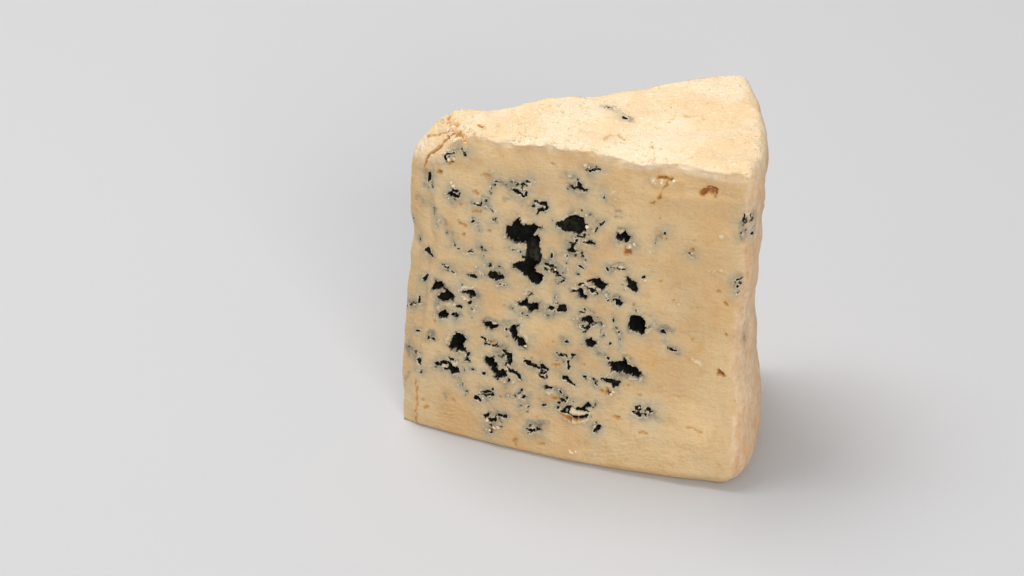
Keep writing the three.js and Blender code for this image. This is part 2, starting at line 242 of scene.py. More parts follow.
def rind_share(p):
    """How much a point of the outside belongs to the rind: 1 on the top, the side and the base, 0 on cuts."""
    height = lerp(HEIGHT_AT_TIP, HEIGHT_AT_RIND, np.clip(p[..., 0] / WEDGE_LENGTH, 0, 1))
    top = smoothstep(p[..., 2], height - 2.2, height - 0.6)
    radius = np.hypot(p[..., 0], p[..., 1])
    side = smoothstep(radius - profile(RIND_PROFILE, p[..., 2]), -2.4, -0.8)
    return np.maximum(top, side)


def to_crack(p):
    """Distance in plan from points of the outside to the ragged path of the crack."""
    flat = p[..., :2].reshape(-1, 2)
    return to_path(flat + TIP_CRACK_RAG * np.stack([wave(flat) for wave in ragged], -1), TIP_CRACK)


def crack_depth(p):
    """Depth of the crack: a groove along its path, which closes some way below the top."""
    closed, opened = (HEIGHT_AT_TIP - drop for drop in TIP_CRACK_ENDS)
    groove = np.clip(1 - to_crack(p) / (TIP_CRACK_WIDE / 2), 0, 1) ** 0.6
    return (TIP_CRACK_DEEP * groove * smoothstep(p[..., 2].reshape(-1), closed, opened)).reshape(p.shape[:-1])


def grained(p):
    """Adds the fine grain and the crack to points of the outside, by their place alone, so that patches
    meet exactly; nothing moves at the very base."""
    rind = rind_share(p)
    lift = smoothstep(p[..., 2], 0.2, 3)
    move = np.stack([SOFT_GRAIN * soft_grain[i](p) + rind * (RIND_GRAIN * rind_grain[i](p)
                     + RIND_LUMP * rind_lump[i](p)) for i in range(3)], -1)
    move[..., 2] -= crack_depth(p)
    return p + move * lift[..., None]


# Openings of the front cut, mm along from the tip and mm up: depth, how far the floor runs out towards the
# lower edge (0 not at all, 1 fully), and the corners of the mouth.
MOUTHS = [
    (6.5, 0.2, [(24.6, 65.6), (24.6, 69.3), (26.1, 70.8), (27.6, 72.6), (29.4, 70.2), (31, 70.7),
                (33, 71.4), (35.6, 70.6), (33.2, 69.1), (33, 68), (34.3, 67.6), (34.6, 65.5), (31, 65.2),
                (28.9, 64.3)]),
    (3.0, 0.6, [(30.2, 66), (34.6, 66.4), (35, 61.7), (33.7, 59.8), (30.2, 60.2), (30, 63.5)]),
    (6.0, 0.2, [(25.5, 57.5), (25.9, 58.4), (28.2, 59.1), (30.4, 60.9), (33.2, 60.2), (33.9, 59.4),
                (32.4, 57.6), (33, 56.6), (35.8, 56.2), (34.6, 54.5), (33, 53.3), (30.8, 54.2),
                (28.5, 56.3)]),
    (5.0, 0.5, [(38.9, 72.9), (41.2, 74.1), (43.2, 75.9), (46, 75.9), (47.5, 72.7), (45.6, 70.9),
                (43.5, 71.2), (41.8, 70.9), (40, 71.9)]),
    (4.6, 0.1, [(56.4, 70.6), (56.5, 72.2), (57.3, 72.8), (59.4, 73), (60.4, 72.2), (60.9, 71),
                (60.1, 70.7), (58.9, 69.9), (57.8, 70.2)]),
    (4.5, 0.2, [(1.7, 43.9), (2.8, 46), (3.4, 47.3), (5.3, 47), (7.3, 45.4), (9.2, 43.4), (9.1, 41.8),
                (7, 41.2), (4.2, 41.9), (5.6, 42.6), (6.5, 44.2), (6.2, 44.8), (3.6, 44.1)]),
    (3.4, 0.2, [(10.5, 45.5), (13, 46.3), (14.2, 47), (15.2, 46.8), (15.7, 45.6), (15.1, 44.8),
                (12.2, 45.1)]),
    (3.4, 0.6, [(18.1, 52.6), (19, 54.2), (20.2, 54.6), (23.5, 54.2), (23.4, 53.3), (21.2, 51.9),
                (19.6, 52.2)]),
    (2.0, 0.2, [(12.2, 51.8), (13.2, 51.9), (14.2, 52.4), (15.2, 52), (15, 51.2), (13.8, 50.7)]),
    (3.2, 0.1, [(5.3, 37.5), (7, 38.8), (8.2, 39.3), (9.5, 38.2), (9.2, 37.4), (8.4, 36.9), (6.8, 37)]),
    (3.4, 0.2, [(19, 38.4), (20.8, 39.3), (23.8, 38.8), (22.4, 37.6), (22, 36.9), (20.4, 37.6)]),
    (5.8, 0.1, [(9.2, 28.2), (10.1, 30.4), (10.3, 32), (11.2, 33), (12.4, 33.8), (14.4, 32.8),
                (14.1, 30.4), (14.4, 28.5), (12.5, 27.7), (10.4, 27)]),
    (2.6, 0.1, [(15, 25.1), (15.1, 27.4), (16.2, 26.4), (16.1, 25.4)]),
    (5.0, 0.2, [(27.1, 39.6), (28.6, 39.7), (29.3, 38), (30.3, 36.6), (32.2, 35), (32.3, 33.3),
                (30.4, 33.4), (28.1, 35.8), (27.7, 37.2)]),
    (4.6, 0.2, [(31.3, 50.4), (30.3, 48.6), (28.9, 47), (27.4, 45.7), (30.2, 45.4), (31.3, 43.9),
                (33.6, 45.5), (34.5, 48), (33.9, 47.2), (31.7, 46.8), (30.6, 48.2), (31.5, 49.4)]),
    (2.8, 0.3, [(36.3, 45.9), (37.4, 47.2), (38.9, 46.6), (38.4, 45.4)]),
    (2.8, 0.5, [(39.5, 46.2), (40.4, 47.9), (41.8, 48.5), (42.9, 47), (42.2, 45.6), (40.4, 45.5)]),
    (5.2, 0.4, [(48.4, 56.2), (50.2, 57.3), (50.7, 57.8), (52.8, 56.7), (54.8, 55.7), (53.6, 53.6),
                (52, 53.8), (50.6, 54.7)]),
    (4.2, 0.2, [(43.7, 52.7), (45, 52.3), (46.4, 51.1), (48.2, 51.4), (48.6, 52.2), (47.6, 54),
                (46.2, 54)]),
    (3.8, 0.5, [(60.1, 58), (60.9, 59.1), (62.2, 58.4), (63.2, 57.6), (63.5, 55.4), (62.9, 54.7),
                (60.1, 55.4), (60.8, 56.8)]),
    (2.6, 0.2, [(44.3, 43.4), (47.6, 44.2), (48.8, 45.1), (50.4, 44.2), (54, 42.8), (51, 43.2),
                (49.6, 42.9)]),
    (3.4, 0.3, [(48.6, 37.8), (49.4, 38.6), (50.4, 38.7), (53, 37.7), (50.8, 36.6), (49.2, 36.3)]),
    (6.2, 0.1, [(61.4, 43.3), (61.9, 44.6), (62.9, 47), (64.6, 47.2), (66.2, 46.8), (67.2, 44.3),
                (68.4, 44.4), (70.2, 45.8), (67.6, 43.6), (66.5, 41.8), (65, 42.2)]),
    (6.4, 0.2, [(56.2, 31.7), (56.8, 32.8), (60.1, 33.8), (61, 34.5), (62, 33.4), (65, 32.4), (66.6, 30),
                (64.8, 29.8), (60.2, 29.2), (57.8, 29.8)]),
    (3.8, 0.7, [(53.8, 26.8), (54.8, 27.6), (57, 27.8), (58.8, 27.7), (60.3, 27), (59.2, 25.4),
                (58, 25.3), (57.2, 26.2)]),
    (3.0, 0.1, [(8.6, 23.7), (9.1, 24.2), (9.9, 24), (10.1, 22.9), (12.1, 23), (12.6, 21.2), (11.9, 21.9),
                (10.2, 20.8), (9.4, 21.6), (8.5, 22.2), (9, 22.9)]),
    (4.8, 0.3, [(20.2, 27.2), (21.3, 28.1), (23.3, 28.2), (24.2, 26.6), (23.4, 25.2), (25.2, 24.4),
                (27.5, 24.4), (25.9, 23.2), (23.6, 21.8), (22.3, 22), (22.9, 23.6), (22.2, 24.8)]),
    (2.4, 0.2, [(26.5, 21.1), (26.6, 22.2), (27.4, 22.9), (28.2, 22)]),
    (2.2, 0.1, [(35.8, 25.2), (36.7, 25.4), (38, 24.9), (38.2, 24.4), (37, 24.3)]),
    (2.6, 0.2, [(36.5, 22.5), (38, 22.6), (40.1, 22.1), (39.3, 21.6), (38.2, 21.5), (37.6, 22)]),
    (2.2, 0.2, [(30.2, 18.1), (31.3, 18.9), (32.8, 18.4), (31.6, 17.7)]),
    (2.8, 0.2, [(49.9, 18.8), (50, 19.7), (51.2, 19.5), (52.5, 19.7), (52.6, 19), (51.2, 18.9)]),
    (2.6, 0.3, [(52.7, 12.6), (53.4, 13.2), (54.4, 13.3), (55.3, 12.9), (53.6, 12)]),
    (1.8, 0.2, [(13.2, 75.1), (13.9, 75.8), (14.7, 75.4), (14.3, 74.8)]),
    (1.8, 0.2, [(20.6, 70.3), (20.6, 71.2), (21.3, 71.9), (21.8, 71.4), (21.1, 70.8)]),
    (2.0, 0.2, [(67.3, 19.3), (68, 19.6), (68.7, 18.7), (67.8, 18.7)]),
]

# Thin dark slits and specks of mould, coloured near black with painted shade: width, depth and path.
SLITS = [
    (0.7, 1.2, [(7.4, 78.6), (8.5, 78)]), (0.8, 1.5, [(6.8, 76.9), (8.6, 76.4), (10, 76.8)]),
    (0.5, 0.4, [(10.2, 78), (10.3, 77)]), (0.6, 0.8, [(14.6, 75), (16.2, 74.7)]),
    (0.7, 0.6, [(16.3, 75.7)]),
    (0.7, 1.3, [(32.4, 77.9), (33.5, 77.4), (35, 77.7), (35.6, 76.5), (33.8, 75.7), (33, 74.9)]),
    (0.7, 1.3, [(42.4, 83.4), (43.5, 83.2), (44.6, 83.7), (46.4, 82.9), (47, 83.2)]),
    (0.5, 0.8, [(24.2, 82.9), (26.3, 82.1), (27.5, 82.5), (28.7, 81.8)]),
    (0.5, 0.6, [(28.6, 83.1), (30.2, 83.1)]),
    (0.5, 0.8, [(25.4, 80.6), (27, 80.2), (29, 79), (30, 80.4)]),
    (0.8, 1.0, [(47.3, 89), (48.3, 89.8), (50, 91)]),
    (0.8, 1.0, [(38, 59.2), (39.6, 58.2), (41.3, 56.9)]), (0.7, 0.8, [(36.4, 60.3), (39.5, 60)]),
    (0.8, 0.9, [(36.1, 58.7), (37, 58.2)]), (0.7, 0.7, [(42.5, 60.2)]),
    (0.7, 0.7, [(40.2, 55), (42.4, 55.7)]), (0.6, 0.5, [(38.1, 63.7)]), (0.6, 0.5, [(38.2, 62.9)]),
    (0.7, 0.5, [(42.5, 63.7)]), (0.7, 0.5, [(42.5, 62.3)]), (0.8, 0.6, [(47, 65.7)]),
    (0.7, 0.5, [(47.2, 64.4)]), (0.6, 0.5, [(47.7, 63.1)]),
    (0.9, 1.2, [(43, 65.7), (44, 66.4), (44.6, 65.5)]), (0.6, 0.6, [(44.2, 66.4), (44.7, 67.5)]),
    (0.7, 0.7, [(46.4, 61.6), (47.9, 60.7)]),
    (0.8, 1.4, [(47.2, 68.2), (48.6, 68.6), (49.3, 69.3), (50.2, 68.7)]),
    (0.6, 0.6, [(46.5, 46), (48.3, 47.3)]), (0.6, 0.5, [(5.5, 52.1), (6.8, 52.2)]),
    (0.5, 0.4, [(7.9, 51.2), (8.6, 50.5)]), (0.8, 0.5, [(22.2, 56.6)]),
    (0.6, 0.5, [(22.2, 51.2), (23.9, 51.2)]), (0.5, 0.4, [(18.6, 54.6)]),
    (0.6, 0.4, [(17.8, 55.6), (18.8, 56.2), (18.7, 57)]), (0.6, 0.4, [(6.3, 65.2)]),
    (0.5, 0.4, [(7.7, 62.1), (7.3, 61)]), (0.6, 0.4, [(9.4, 60.2)]),
    (0.6, 0.4, [(12.1, 59.4), (12.9, 59.4)]), (0.5, 0.4, [(15.9, 58.7)]), (0.7, 0.9, [(16, 41.3)]),
    (0.5, 0.5, [(10, 41.2), (11.5, 41.2)]),
    (0.6, 0.8, [(10, 38.3), (10.8, 39.1), (11.8, 38.5), (10.9, 37.9)]),
    (0.6, 0.7, [(14.4, 28.5), (15.4, 28), (15.7, 27.2)]), (0.8, 1.0, [(3.2, 29.8), (4.7, 29.8)]),
    (0.7, 0.6, [(26.3, 38.5)]), (0.7, 0.6, [(27.3, 43.4)]), (0.8, 0.7, [(43.7, 36.9)]),
    (0.6, 0.6, [(41, 33), (41.3, 32.3), (43.5, 32.2)]), (0.8, 0.9, [(45.2, 32.6), (46.3, 33)]),
    (0.7, 0.7, [(44.1, 30.6), (45.4, 28.6)]), (0.6, 0.5, [(20.4, 33.6), (19.8, 34.5)]),
    (0.7, 0.8, [(20.5, 32.3), (22.5, 32.4)]),
    (0.8, 1.0, [(32, 29.4), (33.3, 29), (35, 28.4), (36.8, 27.3)]),
    (0.7, 0.8, [(36.8, 28.6), (38.6, 27.6)]), (0.5, 0.5, [(38.5, 26.8), (36, 26.2)]),
    (0.7, 1.2, [(43.3, 25.6), (45, 25.1), (46.5, 24.2)]),
    (0.9, 1.2, [(25.2, 31.6), (26.3, 31), (27.5, 30), (28.4, 29), (27.5, 28.2), (26.8, 27.2), (26.8, 26.5)]),
    (0.6, 0.5, [(26.8, 26.5), (28, 25.3), (30, 24)]), (1.3, 0.8, [(30.4, 23.7)]),
    (0.7, 0.9, [(5.2, 22.1), (6.4, 23.2), (8.5, 23.7)]),
    (0.5, 0.6, [(5.6, 22.2), (7.5, 21.9), (8.8, 22.1)]), (0.6, 0.6, [(9.6, 24.9), (11.6, 24.4)]),
    (0.7, 0.6, [(19.7, 23.1)]), (1.3, 1.4, [(18.2, 14.6), (18.8, 14.2)]),
    (0.6, 0.7, [(19, 15.6), (19.8, 15.9), (21, 15.8)]),
    (0.6, 0.5, [(19, 16.9), (21.5, 17), (22.9, 16.2)]), (0.8, 1.0, [(20.9, 9), (22.2, 10.3)]),
    (0.7, 0.8, [(23.8, 9.4), (24.4, 10.6), (25.5, 10.6)]), (0.7, 0.7, [(22.6, 8.7), (23.8, 8.9)]),
    (0.7, 0.6, [(22.5, 4.6)]), (0.6, 0.6, [(26, 10.2), (27, 10.6)]),
    (0.6, 0.5, [(32.2, 15.9), (32.6, 15.3)]), (0.5, 0.5, [(30.6, 15.3)]),
    (0.8, 0.8, [(33.6, 8.4), (34.5, 8.4), (36.2, 8.9)]), (0.8, 0.8, [(37.6, 16.8), (38, 17)]),
    (0.8, 0.8, [(43, 19.4), (43.9, 19.4)]), (0.8, 0.8, [(42, 17)]), (0.6, 0.5, [(42.3, 18.2)]),
    (0.7, 1.2, [(43.2, 16.2), (44.3, 17.3), (45.5, 17.9), (47.4, 17.5), (49.3, 17.7), (50, 18.6)]),
    (0.7, 1.2, [(43.2, 16.1), (44.5, 15.8), (46, 15.2), (48, 15), (50, 15.2), (50.6, 15.8)]),
    (0.6, 0.7, [(49.6, 17.7), (50.6, 17)]), (0.7, 0.6, [(52.4, 11.6), (52.9, 12.2)]),
    (0.9, 1.0, [(57.2, 23.6)]), (0.6, 0.8, [(65, 21.2), (66.4, 21.2)]),
    (0.7, 0.9, [(65.8, 20.4), (67, 20.3)]), (0.6, 0.7, [(64.2, 19.5), (66, 19.2), (67.3, 19.2)]),
    (0.6, 0.4, [(68.4, 20.9), (69.8, 20.2)]), (0.7, 0.6, [(51.3, 74.4), (51.9, 75.3)]),
    (0.7, 0.5, [(50.2, 72.8)]), (0.5, 0.4, [(47.2, 76.5), (48.6, 77)]),
    (0.8, 1.3, [(57.2, 51), (58.4, 51.6), (59.6, 50.5), (58.9, 50.2)]), (0.8, 0.7, [(55.6, 51.2)]),
    (0.6, 0.7, [(56.5, 61.4), (59.8, 61.5)]), (0.6, 0.6, [(54.5, 62), (55.3, 60.4)]),
    (0.9, 0.9, [(65.4, 59.5)]), (0.7, 0.5, [(64.1, 48.7)]), (0.6, 0.6, [(48.3, 40.2), (49.6, 42.3)]),
    (0.8, 0.6, [(56.1, 38.3)]), (0.7, 0.6, [(53.2, 35.2)]), (0.7, 0.6, [(46.5, 54.9), (48.2, 55.4)]),
    (0.6, 0.5, [(48.7, 54.2), (51.8, 52.6)]), (0.8, 0.6, [(72.5, 44.1), (73.8, 43.6)]),
    (0.8, 0.8, [(74, 39.8), (76.3, 39.6)]), (0.6, 0.5, [(69.6, 75)]), (0.5, 0.4, [(67.5, 71.1)]),
    (0.6, 0.4, [(93.6, 80), (94.4, 82.5)]), (0.5, 0.4, [(93.4, 77.5), (94.6, 76.4)]),
    (0.5, 0.4, [(92.4, 64), (94, 65)]), (0.5, 0.4, [(92.8, 61.5), (93.9, 62.5)]),
    (0.5, 0.4, [(93, 59.6), (94.4, 60.3)]), (0.7, 0.8, [(77.6, 69.2), (78, 68.7)]),
    (0.7, 0.4, [(51.4, 120.2), (53.4, 120.8)]), (0.8, 0.5, [(55.2, 115.2), (56.2, 115.5)]),
    (0.6, 0.4, [(96, 82.6), (98.2, 78.4), (97.4, 75.6)]), (0.6, 0.4, [(101.2, 43.2), (101.6, 41.6)]),
    (0.8, 0.8, [(-0.6, 80.4), (-0.4, 79.2)]), (0.6, 0.4, [(-0.3, 77.9), (0.6, 77.8)]),
    (0.7, 0.4, [(-6.8, 64.6)]), (0.7, 0.7, [(3.7, 86.9), (4.6, 88.2), (6.2, 88.8)]),
    (0.4, 0.4, [(8, 90), (9.5, 89.7), (9.8, 88.8)]), (0.7, 0.5, [(-4.1, 59.2), (-3.9, 58.4)]),
    (0.9, 0.5, [(-1, 56.6), (-0.2, 55.7), (0.8, 54.4)]), (0.9, 0.5, [(-0.5, 46.7), (0.3, 48.6)]),
    (0.5, 0.4, [(-5.9, 36.8), (-3.5, 37.7), (-1, 39.9)]), (0.8, 0.5, [(-1, 40.6), (-0.9, 39.2)]),
    (0.7, 0.4, [(-0.9, 30.4), (-0.3, 30.8)]),
    (0.5, 0.4, [(-5.6, 23.8), (-3.8, 24.4), (-1.4, 24.4), (-0.1, 23.8)]),
    (0.8, 0.6, [(-0.5, 21), (0.1, 21.9)]), (0.5, 0.4, [(0, 18.8), (1.1, 19.1)]),
]

# Torn paste that stands up white along the slits and round the mouths, its pale colour partly the paste's own
# and partly a painted highlight on the lips: width, height and path.
WHITES = [
    (0.9, 0.35, [(28.7, 71.8), (31.5, 71.6)]), (0.8, 0.3, [(33.3, 71.8), (35.6, 71)]),
    (0.7, 0.3, [(24.2, 66), (24.1, 69)]), (0.8, 0.3, [(25.2, 59), (28.4, 59.9)]),
    (0.8, 0.35, [(39.2, 73.6), (42.4, 75.6), (44.6, 76.6)]), (0.9, 0.3, [(47.7, 73.2)]),
    (0.7, 0.3, [(32.2, 78.6), (34.8, 78.3)]), (0.7, 0.35, [(42.4, 84.1), (46.6, 83.7)]),
    (0.6, 0.3, [(43, 82.5), (45.8, 82.3)]), (0.6, 0.3, [(24.5, 83.5), (28.5, 82.6)]),
    (0.7, 0.3, [(26, 81.3), (29.4, 80.8)]), (0.9, 0.35, [(44.6, 91.2), (47.2, 90.4)]),
    (0.7, 0.3, [(39.4, 59.2)]), (0.7, 0.3, [(37.5, 58)]), (0.6, 0.25, [(12, 53.1), (15, 52.9)]),
    (0.6, 0.25, [(17.6, 53), (18.3, 54.8)]), (0.8, 0.3, [(9.3, 43.9), (8, 45.4)]),
    (0.6, 0.25, [(5.8, 40.6), (8.8, 40.9)]), (1.0, 0.45, [(10.5, 46.3), (12.8, 47.4), (15, 48.2)]),
    (1.0, 0.3, [(11.4, 43.8), (13.8, 43.2)]), (0.6, 0.3, [(19.2, 39.6), (23.4, 39.6)]),
    (0.8, 0.3, [(8.6, 29.6), (9.6, 32.4)]), (1.0, 0.3, [(28.9, 40.4), (30.6, 38.6), (32.4, 35.6)]),
    (0.8, 0.35, [(29.4, 49.4), (31, 51.2)]), (0.8, 0.3, [(31.4, 46.3), (33.8, 46.5)]),
    (0.6, 0.25, [(36.6, 47.9), (38.9, 47.6)]), (0.7, 0.3, [(53.6, 53.4), (54.9, 54.3)]),
    (0.7, 0.3, [(44, 53.6), (46.4, 54.9)]), (0.9, 0.4, [(54.9, 61.5), (57.4, 62.2), (60, 62)]),
    (0.9, 0.3, [(66, 58.5)]), (0.7, 0.3, [(44.6, 44.2), (48.8, 46)]),
    (0.6, 0.3, [(62.5, 47.9), (66.8, 47.6), (67.4, 45.2)]), (0.8, 0.4, [(67.5, 42.6), (70.4, 45.2)]),
    (0.7, 0.3, [(59.8, 34.6), (61.2, 35.3), (62.6, 34)]),
    (0.9, 0.35, [(67, 30.8), (66.6, 29.4), (63, 28.8)]), (0.8, 0.3, [(53.8, 28.2), (56.4, 28.4)]),
    (0.8, 0.3, [(5.8, 22.6), (8.2, 22.8)]), (0.9, 0.35, [(10.8, 23.5), (12.2, 23.8)]),
    (0.9, 0.3, [(3.4, 21.3), (5, 21.2)]), (0.7, 0.3, [(28.2, 21), (28.8, 22)]),
    (0.6, 0.3, [(36.2, 26), (38.4, 25.6)]), (0.7, 0.3, [(38.2, 23.1), (39.8, 22.9)]),
    (0.9, 0.3, [(38, 20.6), (40, 20.9)]), (0.6, 0.3, [(44, 26.3), (46.8, 25.1)]),
    (0.8, 0.35, [(31.2, 19.4), (32.8, 19)]), (1.5, 0.35, [(45.4, 16.7), (47.6, 16.3), (49.6, 16.3)]),
    (0.8, 0.45, [(43, 13.9), (46.2, 13.5), (49.8, 13.9), (51, 14.8)]),
    (0.9, 0.3, [(21.4, 8.2), (22.6, 9.4)]), (0.9, 0.3, [(23.4, 6.6), (25, 6.8)]),
    (0.8, 0.3, [(22.6, 5.6), (24, 4.9)]), (0.7, 0.3, [(33.6, 9.4), (36, 9.6)]),
    (0.6, 0.3, [(34, 7.5), (35.6, 7.9)]), (0.9, 0.35, [(58, 24.2), (57, 22.8)]),
    (0.8, 0.3, [(65.4, 20.8), (66.8, 19.8)]), (0.6, 0.25, [(55.4, 16.1), (57, 16.5)]),
    (0.7, 0.3, [(52.9, 13.9), (54.4, 14.1)]), (1.4, 0.45, [(56.9, 73.4), (58.6, 73.3)]),
    (1.0, 0.3, [(59.4, 69.2), (61.6, 69.8)]), (0.6, 0.25, [(53.8, 84.3), (55.6, 84.5)]),
    (0.6, 0.25, [(53.8, 83.2), (55, 83.5)]), (0.7, 0.3, [(55, 82.6), (57.6, 82.6)]),
    (0.6, 0.25, [(17.2, 85.2), (20, 85.3)]), (0.5, 0.2, [(16.8, 84.5), (19.2, 84.8)]),
    (0.5, 0.2, [(10, 86), (13, 84.8)]), (1.0, 0.35, [(7, 80.7)]), (1.0, 0.35, [(7.8, 79.8)]),
    (0.9, 0.3, [(8.6, 77.4), (9.6, 77.2)]), (0.7, 0.3, [(15, 75.6), (16, 75.2)]),
    (0.7, 0.3, [(20.4, 73.2), (21.6, 73.8)]), (1.6, 0.3, [(64.9, 91.3), (65.6, 90.2)]),
    (1.0, 0.25, [(67.4, 91), (67.8, 89.4)]), (0.8, 0.35, [(83.2, 65.3), (88, 66.2)]),
    (0.9, 0.3, [(85.6, 76.2), (87, 76.4)]), (1.0, 0.35, [(78.6, 70), (78.1, 69.3)]),
    (0.7, 0.3, [(75.8, 53.4), (76.6, 53.4)]), (0.8, 0.3, [(76, 39), (77, 39.4)]),
    (0.7, 0.3, [(69, 73.4), (70.6, 73.6)]), (0.5, 0.3, [(71, 92), (76, 89.5), (80, 88.6), (92, 88.1)]),
    (0.7, 0.3, [(66.2, 84.2), (67.2, 84.4)]), (0.8, 0.3, [(89.6, 36.6), (90.8, 34.8)]),
    (0.9, 0.4, [(2.8, 88.2), (4.1, 89.7), (6.1, 90.2)]),
    (0.7, 0.35, [(7.4, 89.4), (8.8, 88.4), (9.8, 88.3)]), (1.4, 0.6, [(3.2, 98.4), (5.7, 97)]),
    (1.1, 0.15, [(81, 37.6), (83, 36.6)]),
]

# Ochre marks: orange-brown pits and tears of the paste, and painted shade as ochre lines in creases, under
# the tip's rind edge and beside the blade's ridges: width, depth and path.
OCHRE_AND_SHADE_MARKS = [
    (0.7, 0.5, [(10, 74.4)]), (0.6, 0.4, [(14.2, 72.5), (15.8, 72.9)]),
    (0.6, 0.4, [(13.9, 79.2), (15.3, 78.1)]), (0.8, 0.5, [(9.9, 69.5)]),
    (0.7, 0.5, [(10.1, 68.3), (11.6, 68.2)]), (0.9, 0.5, [(19.4, 67.7)]), (0.9, 0.5, [(10.9, 65.3)]),
    (0.7, 0.4, [(19.2, 62)]), (0.7, 0.4, [(24, 44.7)]), (0.8, 0.4, [(4.9, 35.8)]),
    (0.7, 0.4, [(22.7, 33.6)]), (0.5, 0.4, [(35.2, 90), (37, 89.2)]),
    (0.5, 0.3, [(15.5, 83.6), (18.5, 83.3)]), (0.6, 0.5, [(40, 29.2), (41.8, 29.2)]),
    (0.6, 0.4, [(39.8, 36.4)]), (0.7, 0.5, [(39.5, 19.6), (42, 19.4)]),
    (0.4, 0.3, [(35.4, 18.2), (40, 18.3)]), (1.1, 0.5, [(42.4, 14.9), (45.6, 14.3), (49, 14.6)]),
    (0.8, 0.5, [(54.4, 24.3), (54.3, 23.4)]), (1.1, 0.9, [(55.6, 24.2), (57, 23.7)]),
    (0.8, 0.5, [(59, 17.2), (60.8, 17.4)]), (0.7, 0.4, [(49, 30.8)]), (0.7, 0.4, [(62.3, 26.1)]),
    (0.7, 0.4, [(65.8, 24.1)]), (0.5, 0.3, [(35.1, 12.3)]), (0.6, 0.4, [(66, 14.2), (69, 14.2)]),
    (1.5, 0.8, [(59.6, 67.8), (59.8, 66.8)]), (0.8, 0.5, [(70.3, 59.2)]), (0.8, 0.5, [(63.7, 50.7)]),
    (0.8, 0.5, [(66, 83.5), (66.8, 83.8)]), (0.6, 0.4, [(68.2, 79.5)]),
    (0.6, 0.5, [(69, 73), (70.5, 73)]), (0.5, 0.6, [(69.2, 91.5), (69, 89.5), (68.5, 87)]),
    (0.9, 0.7, [(68.2, 86), (68, 85.6)]), (1.2, 0.8, [(66.6, 92), (71, 91.8)]),
    (1.7, 1.1, [(80, 87.6), (82, 88.6), (83.6, 88.2)]), (1.0, 0.9, [(83.4, 88.8), (83.7, 86.8)]),
    (0.7, 0.5, [(78.5, 74)]), (0.8, 0.6, [(78.2, 71), (78.6, 70.2)]),
    (1.1, 0.7, [(89.4, 56.4), (89.9, 55.8)]), (0.8, 0.4, [(87, 60)]), (0.7, 0.4, [(75, 54)]),
    (1.1, 0.5, [(91, 46.9), (91.6, 46.2)]), (1.7, 1.2, [(88.8, 34.2), (90, 34.4), (89.4, 35.4)]),
    (0.6, 0.3, [(81.6, 42.6)]), (0.7, 0.4, [(94, 27)]), (0.6, 0.3, [(82, 54)]),
    (0.4, 0.3, [(80, 17.6), (83.6, 16.6)]), (0.7, 0.4, [(30, 4.8), (29.4, 3.8), (30, 2.4)]),
    (0.6, 0.3, [(36.6, 4.4), (37.6, 4.9)]), (0.7, 0.4, [(3.1, 7)]), (0.6, 0.4, [(2.1, 9.2)]),
    (0.5, 0.3, [(11, 12.1), (11.6, 12.4)]), (0.5, 0.4, [(51.7, 10.3)]),
    (0.7, 0.4, [(71.6, 119.5), (72.6, 119.3)]), (0.4, 0.3, [(45.9, 118.4)]),
    (0.5, 0.2, [(49.7, 101), (50.8, 104), (52.4, 105.7)]), (0.5, 0.2, [(53.7, 106.8), (55.6, 103.4)]),
    (0.6, 0.3, [(63.8, 102)]), (0.4, 0.3, [(74, 120), (77.5, 120.2)]),
    (0.9, 0.6, [(6.9, 95.8), (4.2, 93.8), (2.6, 91.6), (0, 89.1), (-1.8, 86.2), (-1.9, 83.7)]),
    (0.6, 0.4, [(-4.5, 94), (-0.7, 94.2), (3.1, 95.5), (5.8, 96.5)]),
    (0.5, 0.3, [(-1.8, 83.6), (-1.2, 80.5)]), (0.9, 0.5, [(5.4, 85.8), (6.3, 86.2)]),
    (1.3, 0.7, [(2.2, 82.7), (3.1, 83)]), (0.4, 0.4, [(-0.8, 15.1), (0.1, 11.6), (0.3, 6.8), (-0.3, 1)]),
    (1.3, 0.2, [(12.9, 99.8), (14, 99.2)]),
]

